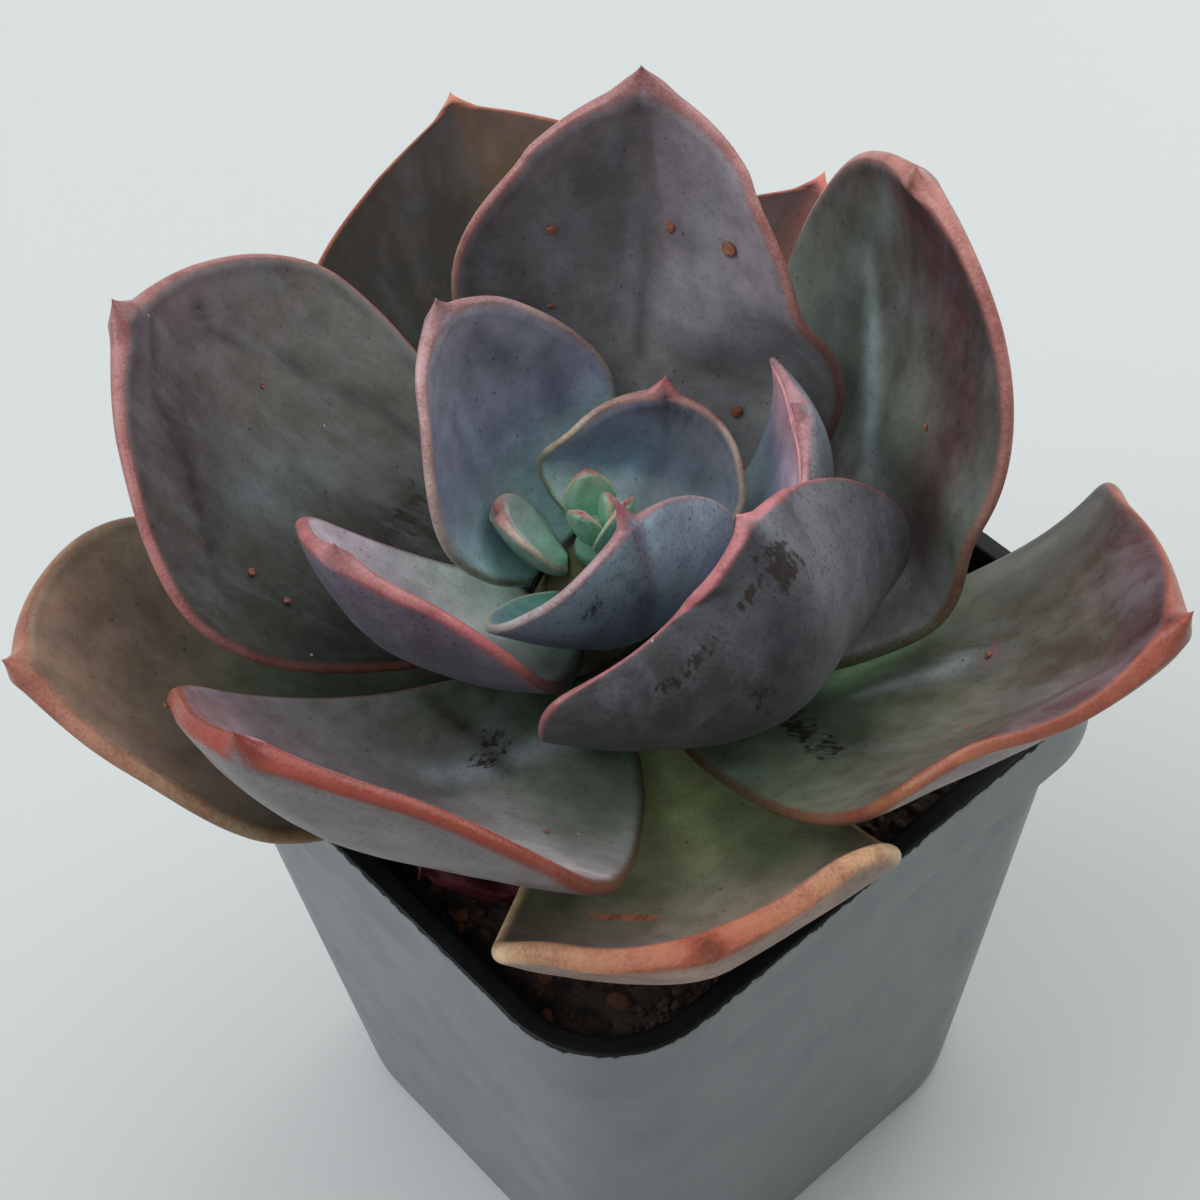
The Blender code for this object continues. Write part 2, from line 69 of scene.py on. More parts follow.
def grain(size):
    """Scale of a pattern whose grain measures size millimetres."""
    return 1 / (size * MM)


PREFIXES = ("ShaderNode", "GeometryNode", "FunctionNode", "")
SMOOTH, COLOUR = {"interpolation_type": "SMOOTHSTEP"}, {"data_type": "RGBA"}    # settings used often


def node(tree, kind, inputs=(), out=0, **settings):
    """Add a node and return its output of the number or name out, or the node itself for None.

    kind is its type's name without the prefix. inputs are values, or the outputs that feed it, in the
    sockets' order or by socket."""
    made = tree.nodes.new(next(p + kind for p in PREFIXES if hasattr(bpy.types, p + kind)))
    for key, value in settings.items():
        setattr(made, key, value)
    for socket, value in inputs.items() if isinstance(inputs, dict) else enumerate(inputs):
        if isinstance(value, bpy.types.NodeSocket):
            tree.links.new(value, made.inputs[socket])
        else:
            made.inputs[socket].default_value = value
    return made if out is None else made.outputs[out]


def new_material(name, **constants):
    """A material, its tree and its Principled shader with these constant sockets."""
    made = bpy.data.materials.new(name)
    made.use_nodes = True
    shader = made.node_tree.nodes["Principled BSDF"]
    for socket, value in constants.items():
        shader.inputs[socket.replace("_", " ")].default_value = value
    return made, made.node_tree, shader


def bumped(tree, shader, layers):
    """Stack bump layers of (pattern, depth in millimetres) on a shader."""
    normal = None
    for pattern, depth in layers:
        inputs = {"Height": pattern, "Distance": depth * MM, "Strength": 1.0}
        if normal is not None:
            inputs["Normal"] = normal
        normal = node(tree, "Bump", inputs, "Normal")
    tree.links.new(normal, shader.inputs["Normal"])


def add_object(name, points, faces, look, attributes=()):
    """A smooth mesh object from points in millimetres, with attributes on its points."""
    mesh = bpy.data.meshes.new(name)
    mesh.from_pydata((np.asarray(points) * MM).tolist(), [], faces)
    mesh.shade_smooth()
    for title, values in dict(attributes).items():
        kind, field_name = {1: ("FLOAT", "value"), 3: ("FLOAT_VECTOR", "vector"),
                            4: ("FLOAT_COLOR", "color")}[1 if values.ndim == 1 else values.shape[1]]
        layer = mesh.attributes.new(title, kind, "POINT")
        layer.data.foreach_set(field_name, values.astype(np.float32).ravel())
    if look is not None:
        mesh.materials.append(look)
    made = bpy.data.objects.new(name, mesh)
    scene.collection.objects.link(made)
    return made


def closed_rings(count, rings):
    """Faces of a body of rings with count points each, closed by a middle point below and one above."""
    faces = [(count * k + j, count * k + (j + 1) % count, count * (k + 1) + (j + 1) % count,
              count * (k + 1) + j) for k in range(rings - 1) for j in range(count)]
    low, last = count * rings, count * (rings - 1)
    faces += [(low, (j + 1) % count, j) for j in range(count)]
    return faces + [(low + 1, last + j, last + (j + 1) % count) for j in range(count)]


def settle(piece, nodes):
    """Let a finished piece ride with the part and stand for these solids."""
    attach(piece, "root")
    if nodes:
        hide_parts(*nodes)
    piece.data.calc_loop_triangles()
    print(f"{piece.name}: {len(piece.data.loop_triangles)} triangles")


# %% [markdown]
# ## Camera, floor and light
# The photograph looks down at about 50 degrees, past a front corner of the pot, with a long lens. The
# light is soft daylight: a pale surround, one broad window on the left, the sky high behind, and a pale
# wall on the right. The floor is so wide that its end never shows.

# %% Camera
VIEW_TURN, VIEW_RISE, VIEW_ROLL = 51.9, 49.8, -4.7
VIEW_TARGET, VIEW_DISTANCE = (-6.16, 1.68, 72.0), 235.0
LENS, SENSOR, CLIP = 72.0, 36.0, (0.01, 10.0)

azimuth, elevation, tilt = (math.radians(v) for v in (VIEW_TURN, VIEW_RISE, VIEW_ROLL))
back = Vector((math.sin(azimuth) * math.cos(elevation), -math.cos(azimuth) * math.cos(elevation),
               math.sin(elevation)))
right = Vector((math.cos(azimuth), math.sin(azimuth), 0))
up = back.cross(right)
tilted = right * math.cos(tilt) + up * math.sin(tilt)
upward = up * math.cos(tilt) - right * math.sin(tilt)
camera = bpy.data.objects.new("camera", bpy.data.cameras.new("camera"))
camera.data.lens, camera.data.sensor_width = LENS, SENSOR
camera.data.clip_start, camera.data.clip_end = CLIP
camera.location = (Vector(VIEW_TARGET) + back * VIEW_DISTANCE) * MM
camera.rotation_mode = "QUATERNION"
camera.rotation_quaternion = Matrix((tilted, upward, back)).transposed().to_quaternion()
scene.collection.objects.link(camera)
scene.camera = camera
print("camera:", VIEW_DISTANCE, "mm away,", VIEW_RISE, "degrees up")

# %% Floor and light
FLOOR_REACH, FLOOR_LEVEL, FLOOR_COLOUR = 9000.0, -0.05, "#bcc1c1"
ROOM_COLOUR, ROOM_STRENGTH = "#e9edec", 0.6

scene.view_settings.view_transform = "Standard"
board_look, _, board_shader = new_material("painted_board", Roughness=0.6)
board_shader.inputs["Base Color"].default_value = linear(FLOOR_COLOUR)
floor = add_object("floor", [(x * FLOOR_REACH, y * FLOOR_REACH, FLOOR_LEVEL)
                             for x, y in ((-1, -1), (1, -1), (1, 1), (-1, 1))], [(0, 1, 2, 3)], board_look)

scene.world = bpy.data.worlds.new("pale_room")
scene.world.use_nodes = True
room = scene.world.node_tree.nodes["Background"].inputs
room["Color"].default_value, room["Strength"].default_value = linear(ROOM_COLOUR), ROOM_STRENGTH


def soft_light(name, turn, rise, distance, size, power, colour):
    """A broad light that faces the plant. turn and rise are its direction as seen from there, in degrees."""
    light = bpy.data.lights.new(name, "AREA")
    light.shape, light.size, light.energy = "SQUARE", size * MM, power
    light.color = linear(colour)[:3]
    lamp = bpy.data.objects.new(name, light)
    a, b = math.radians(turn), math.radians(rise)
    away = Vector((math.cos(a) * math.cos(b), math.sin(a) * math.cos(b), math.sin(b)))
    lamp.location = (away * distance + Vector((0, 0, LIT_HEIGHT))) * MM
    lamp.rotation_mode = "QUATERNION"
    lamp.rotation_quaternion = away.to_track_quat("Z", "Y")
    scene.collection.objects.link(lamp)


LIT_HEIGHT = 80                 # the lights face a place at this height
soft_light("window", 235.0, 46.0, 1500.0, 1400.0, 15.5, "#fdfdff")
soft_light("sky", 141.9, 68.0, 1200.0, 1200.0, 5.0, "#ffffff")
soft_light("far_wall", 85.0, 36.0, 1000.0, 900.0, 5.0, "#fffffb")
print("lights:", [light.name for light in bpy.data.lights])

# %% [markdown]
# ## The form of a leaf
# Each leaf is a bent sheet of flesh: a midrib that curves upwards, halves that are folded and cupped
# beside it, and an outline that swells, squares off at the shoulders and ends in a short point. The
# same measures make the part's own solid, so the finer leaf below lies on it. The leaves follow the
# plant's spiral: each one stands about 137 degrees round from the last and a little lower.

# %% Leaf measures
AXIS = (-2.0, -1.5)
SPIRAL_PLACES, LOWEST_BASE, CROWN_RISE = 18, 70.5, 13.0
POT_HEIGHT, POT_TOP_SIDE, LIP = 72.0, 70.0, 2.2
SOIL_TOP, SOIL_SWELL, GAP = 66.0, 0.5, 0.3

# turn: heading of the foot. sweep: how far it swings by the tip. rise: slope of the midrib at foot and
# tip. curl: above 1 the slope changes late. roll: tilt about the midrib. fold: bend beside the midrib.
# cup: bend across each half. widest: where it is widest. notch: how far the shoulders run ahead.
# blunt: how square they are. cusp: length of the pointed tip.
Leaf = namedtuple("Leaf",
                  "name place turn sweep length width rise curl roll fold cup widest notch blunt cusp")
LEAVES = tuple(Leaf(*measures) for measures in (
    ("leaf_young_1", 0, 235, 5, 12.5, 8.5, (34, 82), 1.0, (2, 4), (10, 14), (30, 25), 0.54, 0.5, 2.2, 1.5),
    ("leaf_young_2", 1, 104, -5, 18.5, 22.5, (45, 73), 1.0, (4, 47), (10, 28), (35, 23), 0.52, 1.5, 1.7, 2.0),
    ("leaf_young_3", 2, 326, 40, 33, 27, (18, 127), 1.2, (-9, 16), (10, 11), (22, 36), 0.51, 1.0, 1.7, 3.0),
    ("leaf_inner_1", 3, 195, 3, 33, 28, (44, 92), 1.0, (-5, 1), (10, 13), (25, 33), 0.47, 2.5, 1.6, 2.5),
    ("leaf_inner_2", 4, 39, 18, 36.5, 28, (9, 125), 1.2, (-7, 1), (0, 9), (13, 21), 0.63, 2.0, 2.3, 2.0),
    ("leaf_inner_3", 5, 269, 5, 41.5, 28, (10, 92), 1.0, (-5, 5), (10, 12), (19, 13), 0.60, 0.0, 1.6, 2.0),
    ("leaf_wide_1", 6, 123, -3, 52.5, 36.5, (38, 101), 1.0, (-7, 8), (5, 21), (19, 30), 0.55, 0.5, 1.9, 3.5),
    ("leaf_inner_4", 7, 347, 40, 53.5, 43.5, (-3, 138), 1.2, (-7, -18), (-5, 39), (6, 19), 0.52, -0.5, 1.8,
     1.5),
    ("leaf_wide_2", 8, 212, 13, 55.5, 44, (6, 80), 1.0, (-2, -6), (5, 1), (14, 18), 0.60, 0.5, 1.6, 3.0),
    ("leaf_wide_3", 9, 68, -4, 59.5, 39.5, (13, 108), 1.0, (-4, 10), (0, -7), (12, 17), 0.59, 1.5, 1.6, 2.0),
    ("leaf_wide_4", 10, 299, -32, 66.5, 39.5, (-9, 82), 0.8, (-16, 25), (0, 10), (6, 22), 0.65, 0.5, 1.6,
     3.0),
    ("leaf_old_1", 11, 153, 0, 59, 41, (23, 17), 1.0, (4, -15), (5, -5), (17, 15), 0.60, -2.0, 1.6, 3.0),
    ("leaf_wide_5", 12, 21, -3, 64, 43, (4, 73), 1.4, (-12, 6), (-15, 36), (-9, 8), 0.67, -4.0, 2.7, 3.0),
    ("leaf_old_2", 13, 241, 18, 58, 41, (-3, 63), 1.4, (-3, -1), (5, 7), (13, 17), 0.63, -0.5, 1.9, 3.0),
    ("leaf_old_3", 14, 112, -1, 52, 34.5, (19, 21), 1.0, (0, -9), (5, -1), (16, 18), 0.61, -0.5, 2.0, 3.0),
    ("leaf_old_4", 15, 339, -26, 55.5, 36, (-5, 82), 1.7, (-13, 23), (-10, 17), (7, 19), 0.74, 0.5, 2.7, 2.0),
    ("leaf_old_5", 18, 285, 5, 28.5, 19, (-22, 5), 0.6, (0, 6), (0, 0), (2, 2), 0.62, 0.5, 2.2, 2.0),
))
Age = namedtuple("Age", "start foot margin midrib")
AGES = {
    "heart": Age(0.8, 0.45, 0.9, 1.4),
    "young": Age(2.5, 0.45, 1.5, 2.2),
    "inner": Age(3.0, 0.40, 1.9, 2.8),
    "wide": Age(4.0, 0.35, 2.3, 3.2),
    "old": Age(4.0, 0.35, 2.4, 3.0),
}
NECK, NECK_WIDTH, TIP_RADIUS = 0.22, 0.45, 0.25

# How a leaf is drawn. mucro: half width of the pointed tip where it starts, over the leaf's. taper:
# above 1 the point is hollow-sided. merge: how softly it runs into the shoulders. edge: thickness of
# the margin, or None for its age's.
Form = namedtuple("Form", "mucro taper merge edge")
PLAIN = Form(0.2, 1.4, 0.0, None)
SOFT = 0.25                     # how softly a fine leaf's outline turns where it is widest
print("leaves:", len(LEAVES), "over", SPIRAL_PLACES, "places of the spiral")

# %% Middle surface of a leaf


def age_of(leaf):
    return AGES[leaf.name.split("_")[1]]


def base_height(leaf):
    return LOWEST_BASE + CROWN_RISE * (1 - leaf.place / SPIRAL_PLACES) ** 1.5


def blend(pair, t):
    return pair[0] + (pair[1] - pair[0]) * t


def half_width(leaf, t, form=PLAIN):
    """Half the leaf's width at t along it, 0 at its foot and 1 at its tip."""
    foot = age_of(leaf).foot
    lower = foot + (1 - foot) * np.sin(np.pi / 2 * np.clip(t / leaf.widest, 0, 1)) ** 1.35
    shoulder = np.clip((t - leaf.widest) / (1 - leaf.cusp / leaf.length - leaf.widest), 0, 1)
    if form.merge:
        round_off = SOFT ** leaf.blunt
        shoulder = (shoulder ** 2 + SOFT ** 2) ** (leaf.blunt / 2) - round_off
        shoulder = shoulder / ((1 + SOFT ** 2) ** (leaf.blunt / 2) - round_off)
        upper = (1 - np.clip(shoulder, 0, 1)) ** (1 / 1.6)
    else:
        upper = (1 - shoulder ** leaf.blunt) ** (1 / 1.6)
    cusp_share = 2.4 * leaf.cusp / leaf.length
    point = form.mucro * np.clip((1 - t) / cusp_share, 0, 1) ** form.taper
    if form.merge:
        share = np.clip(0.5 + (upper - point) / form.merge / 2, 0, 1)
        top = point + (upper - point) * share + form.merge * share * (1 - share)
        top = np.where(upper > 0.001, top, point)
    else:
        top = np.maximum(upper, np.where(t > 1 - cusp_share, point, 0))
    body = np.where(t < leaf.widest, lower, np.minimum(top, 1))
    neck = 1 - (1 - NECK_WIDTH) * np.clip(1 - t / NECK, 0, 1) ** 2
    return leaf.width / 2 * body * neck


def half_thickness(leaf, t, s, form=PLAIN):
    """Half the leaf's thickness at t along it and s across it, from -1 to 1."""
    age = age_of(leaf)
    width = half_width(leaf, t, form)
    margin = np.minimum((form.edge or age.margin) / 2 * np.clip(0.4 + 2 * t, 0, 1), 0.35 * width)
    midrib = (age.margin + (age.midrib - age.margin) * np.clip(1.25 - t, 0, 1)) / 2
    midrib = np.minimum(midrib, 0.6 * width)
    return margin + (midrib - margin) * (1 - s ** 2)


def at_most_one(values, form):
    """Cut values off at 1, softly for a fine leaf, so that its outline has no corner there."""
    if form.merge:
        return np.clip((values + 1 - np.sqrt((values - 1) ** 2 + 0.03)) / 2, 0, 1)
    return np.clip(values, 0, 1)


def read_grid(grid, t, s):
    """Values of an even grid at places t (0 to 1) and s (-1 to 1), smoothly between its points."""
    def taps(place, last):
        first = np.clip(np.floor(place).astype(int), 0, last - 1)
        f = place - first
        weights = ((2 * f - 1 - f * f) * f / 2, (3 * f - 5) * f * f / 2 + 1, ((4 - 3 * f) * f + 1) * f / 2,
                   (f - 1) * f * f / 2)
        return [(np.clip(first + k - 1, 0, last), weights[k]) for k in range(4)]
    rows, columns = grid.shape[:2]
    total = 0
    for row, row_weight in taps(t * (rows - 1), rows - 1):
        for column, column_weight in taps((s + 1) / 2 * (columns - 1), columns - 1):
            total = total + grid[row, column] * (row_weight * column_weight)[..., None]
    return total


def sheet(leaf, t, s, push=None, form=PLAIN):
    """Points of the leaf's middle surface. t and s are arrays of one shape."""
    age = age_of(leaf)
    fine = np.linspace(0, 1, 161)
    heading = np.radians(leaf.turn + leaf.sweep * fine)
    slope = np.radians(blend(leaf.rise, fine ** leaf.curl))
    along = np.stack([np.cos(heading) * np.cos(slope), np.sin(heading) * np.cos(slope), np.sin(slope)], 1)
    steps = (along[1:] + along[:-1]) / 2 * leaf.length / (len(fine) - 1)
    midrib = np.vstack([np.zeros(3), np.cumsum(steps, 0)])
    start = math.radians(leaf.turn)
    midrib += (AXIS[0] + age.start * math.cos(start), AXIS[1] + age.start * math.sin(start),
               base_height(leaf))
    left = np.stack([-np.sin(heading), np.cos(heading), 0 * heading], 1)
    up = np.cross(along, left)
    roll = np.radians(blend(leaf.roll, fine))[:, None]
    left, up = left * np.cos(roll) + up * np.sin(roll), up * np.cos(roll) - left * np.sin(roll)

    def at(values):
        return np.stack([np.interp(t, fine, values[:, k]) for k in range(3)], -1)

    # The section bends away from the midrib: its slope is summed outwards to each place across.
    part = (np.arange(24) + 0.5) / 24
    reach = np.abs(s)[..., None] * part
    cup = np.where(s > 0, leaf.cup[0], leaf.cup[1])[..., None]
    flatter = at_most_one((1 - t) * leaf.length / (3 * leaf.cusp), form)[..., None]
    bend = flatter * np.radians(blend(leaf.fold, t)[..., None] * np.tanh(reach / 0.12) + cup * reach)
    width = half_width(leaf, t, form)
    out = (np.cos(bend).mean(-1) * s * width)[..., None]
    rise = (np.sin(bend).mean(-1) * np.abs(s) * width)[..., None]
    late = at_most_one(np.clip((t - 0.5) / 0.35, 0, None) ** 2, form)
    ahead = (leaf.notch * np.abs(s) ** 1.5 * width / (leaf.width / 2) * late)[..., None]
    points = at(midrib) + at(along) * ahead + at(left) * out + at(up) * rise
    if push is not None:
        points = points + read_grid(push, t, s)
    return points


def sheet_normals(leaf, t, s, push=None, form=PLAIN):
    """Unit normals of the middle surface, out of the leaf's upper face."""
    step = 0.01
    ahead, behind = np.clip(t + step, 0, 0.99), np.clip(t - step, 0, 0.97)
    left, right = np.clip(s + 0.05, -1, 1), np.clip(s - 0.05, -1, 1)
    along = sheet(leaf, ahead, s, push, form) - sheet(leaf, behind, s, push, form)
    across = sheet(leaf, t, left, push, form) - sheet(leaf, t, right, push, form)
    normal = np.cross(along, across)
    return normal / np.linalg.norm(normal, axis=-1, keepdims=True)


# %% [markdown]
# ## Leaves that lie clear of each other
# On the plant, older leaves are pressed down by the younger ones above them. Each leaf here sinks by as
# much as it must to pass under the solids of the younger leaves, measured by casting rays through it.
# The frame has those solids, so they are read from it.

# %% Section and skin of a leaf


def skin(points, faces_seam, count):
    """Faces of a closed skin over rings of count points, with a strip over the first and a tip."""
    faces = []
    top = len(points) - 1 - count
    for row in range(0, top, count):
        faces += [(row + j, row + (j + 1) % count, row + (j + 1) % count + count, row + j + count)
                  for j in range(count)]
    faces += [(len(points) - 1, top + j, top + (j + 1) % count) for j in range(count)]
    for j in range(count // 2):
        near, far = (faces_seam + j) % count, (faces_seam + j + 1) % count
        over, next_over = (faces_seam - j) % count, (faces_seam - j - 1) % count
        corners = list(dict.fromkeys((near, over, next_over, far)))
        if len(corners) > 2:
            faces.append(tuple(corners))
    return faces


def section(leaf, flats, angles):
    """Places around one closed section: the share of the flat half, margin angle and lift of each.

    It runs over the top from right to left, around the left margin, back below and around the right.
    """
    shares = list(flats) + [1.0] * len(angles) + list(-flats) + [-1.0] * len(angles)
    round_out = [0.0] * len(flats) + [math.cos(a) for a in angles]
    lift = [1.0] * len(flats) + [math.sin(a) for a in angles]
    return (np.array(shares), np.array(round_out + [-v for v in round_out]),
            np.array(lift + [-v for v in lift]))


def leaf_points(leaf, push, stations, flats, angles, form=PLAIN):
    """Points of the leaf's rings and tip, and the t, s and lift of each."""
    shares, round_out, lift = section(leaf, flats, angles)
    t = np.repeat(stations[:, None], len(shares), 1)
    width = half_width(leaf, t, form)
    edge = half_thickness(leaf, t, np.ones_like(t), form) / width
    s = shares * (1 - edge) + round_out * edge
    lift = np.broadcast_to(lift, t.shape)
    points = sheet(leaf, t, s, push, form)
    normals = sheet_normals(leaf, t, s, push, form)
    points = points + normals * (lift * half_thickness(leaf, t, s, form))[..., None]
    tip = sheet(leaf, np.array([1.0]), np.array([0.0]), push)
    points = np.vstack([points.reshape(-1, 3), tip])
    return points, *(np.append(v.ravel(), end) for v, end in ((t, 1.0), (s, 0.0), (lift, 0.0)))


def stations_of(leaf, start, count, form=PLAIN, radius=TIP_RADIUS):
    """Places of the rings, closer together towards the tip, where the outline turns faster."""
    along = np.linspace(0.8, 1, 200)
    last = along[half_width(leaf, along, form) > min(radius, leaf.width * PLAIN.mucro / 4)][-1]
    u = np.linspace(1, ((1 - last) / (1 - start)) ** (1 / 1.7), count)
    return 1 - (1 - start) * u ** 1.7


COARSE_FLATS = np.array([-0.75, -0.4, 0.0, 0.4, 0.75])
COARSE_ANGLES = np.radians((90, 45, 0, -45, -90))


def coarse_solid(leaf, push, start):
    points = leaf_points(leaf, push, stations_of(leaf, start, 12), COARSE_FLATS, COARSE_ANGLES)[0]
    quads = skin(points, 17, 20)
    split = [face[:3] for face in quads] + [(f[0], f[2], f[3]) for f in quads if len(f) == 4]
    return points, split


# %% Sinking older leaves
BEND_REACH, BEND_GAP, BEND_GRID, BEND_TRIES, BEND_STEP, FOOT_ROWS = 9.0, 0.5, (41, 21), 12, 0.3, 2


def soil_height(x, y):
    """The soil's uneven top."""
    waves = np.sin(0.21 * x + 0.6) * np.cos(0.17 * y) + 0.4 * np.sin(0.4 * x - 0.33 * y)
    return SOIL_TOP + SOIL_SWELL * waves


def solid_of(name):
    """Points in millimetres and triangles of a frame solid."""
    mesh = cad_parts[name].data
    return [vertex.co / MM for vertex in mesh.vertices], [tuple(face.vertices) for face in mesh.polygons]


def tree_of(solids):
    points, faces = [], []
    for solid_points, solid_faces in solids:
        faces += [tuple(k + len(points) for k in face) for face in solid_faces]
        points += [tuple(p) for p in solid_points]
    return BVHTree.FromPolygons(points, faces)


def spread(need):
    """Widen each push to its neighbours, then smooth it."""
    grid = np.pad(need, 2, mode="edge")
    rows, columns = need.shape
    grid = np.max([grid[a:a + rows, b:b + columns] for a in range(5) for b in range(5)], 0)
    for _ in range(4):
        grid = np.pad(grid, 1, mode="edge")
        grid = (grid[:-2] + 2 * grid[1:-1] + grid[2:]) / 4
        grid = (grid[:, :-2] + 2 * grid[:, 1:-1] + grid[:, 2:]) / 4
    return grid


def ground(points):
    """Height that a leaf's underside keeps above: the soil, and the pot's rim around it."""
    reach = np.max(np.abs(points[..., :2]), -1)
    inside = reach < POT_TOP_SIDE / 2 - LIP - 2.5
    over_rim = ~inside & (reach < POT_TOP_SIDE / 2 + 2)
    height = np.where(inside, soil_height(points[..., 0], points[..., 1]), -100.0)
    return np.where(over_rim, POT_HEIGHT, height) + BEND_GAP


def bend_grid():
    t, s = np.meshgrid(np.linspace(0, 1, BEND_GRID[0]), np.linspace(-1, 1, BEND_GRID[1]), indexing="ij")
    return np.clip(t, 0, 0.985), s


def depth_needed(leaf, younger):
    """How deep each place of the leaf has to sink to pass below the younger leaves."""
    t, s = bend_grid()
    thick = half_thickness(leaf, t, s)
    points, normals = sheet(leaf, t, s), sheet_normals(leaf, t, s)
    need = np.zeros(t.shape)
    for place in np.ndindex(t.shape):
        reach = BEND_REACH + thick[place] + BEND_GAP
        origin = Vector(points[place] - normals[place] * BEND_REACH)
        distance = younger.ray_cast(origin, Vector(normals[place]), reach)[3]
        if distance is not None:
            need[place] = reach - distance
    return need


def push_of(leaf, need):
    """The move of each place that sinks it as deep as needed, its foot as one, and above the ground."""
    t, s = bend_grid()
    push = -sheet_normals(leaf, t, s) * spread(need)[..., None]
    foot = push[FOOT_ROWS].mean(0)
    for row in range(FOOT_ROWS):
        push[row] = foot + (push[FOOT_ROWS] - foot) * row / FOOT_ROWS
    down = sheet_normals(leaf, t, s, push) * half_thickness(leaf, t, s)[..., None]
    underside = sheet(leaf, t, s, push) - down
    push[..., 2] += spread(np.clip(ground(underside) - underside[..., 2], 0, None))
    return push


def leaf_start(leaf, push, stem):
    """The place along the leaf where its section first clears the crown by the gap."""
    for t in np.arange(0, 0.4, 0.004):
        ring = leaf_points(leaf, push, np.array([t]), COARSE_FLATS, COARSE_ANGLES)[0][:-1]
        clearances = []
        for point in np.vstack([ring, ring.mean(0)]):
            nearest, normal = stem.find_nearest(Vector(point))[:2]
            away = Vector(point) - nearest
            clearances.append(math.copysign(away.length, away.dot(normal)))
        if min(clearances) > GAP:
            return t
    return 0.4


def sink_leaves():
    """The push and start of each leaf, so that it clears the younger solids of the frame."""
    stem = tree_of([solid_of("stem")])
    solids, sunk = [solid_of("heart_bud")], {}
    for leaf in LEAVES:
        younger = tree_of(solids)
        need = depth_needed(leaf, younger)
        for _ in range(BEND_TRIES):
            push = push_of(leaf, need)
            start = leaf_start(leaf, push, stem)
            points, faces = coarse_solid(leaf, push, start)
            touching = {pair[0] for pair in tree_of([(points, faces)]).overlap(younger)}
            if not touching:
                break
            grid = sheet(leaf, *bend_grid(), push)
            for face in touching:
                away = np.linalg.norm(grid - points[list(faces[face])].mean(0), axis=-1)
                place = np.unravel_index(away.argmin(), away.shape)
                need[place] = max(need[place], spread(need)[place]) + BEND_STEP
        sunk[leaf.name] = (push, start)
        solids.append(solid_of(leaf.name))
        solid = BVHTree.FromPolygons(*solids[-1])
        off = max(solid.find_nearest(Vector(p))[3] for p in points)
        print(f"{leaf.name}: sinks {spread(need).max():.1f} mm, {off:.2f} mm off the frame's solid")
    return sunk


SUNK = sink_leaves()
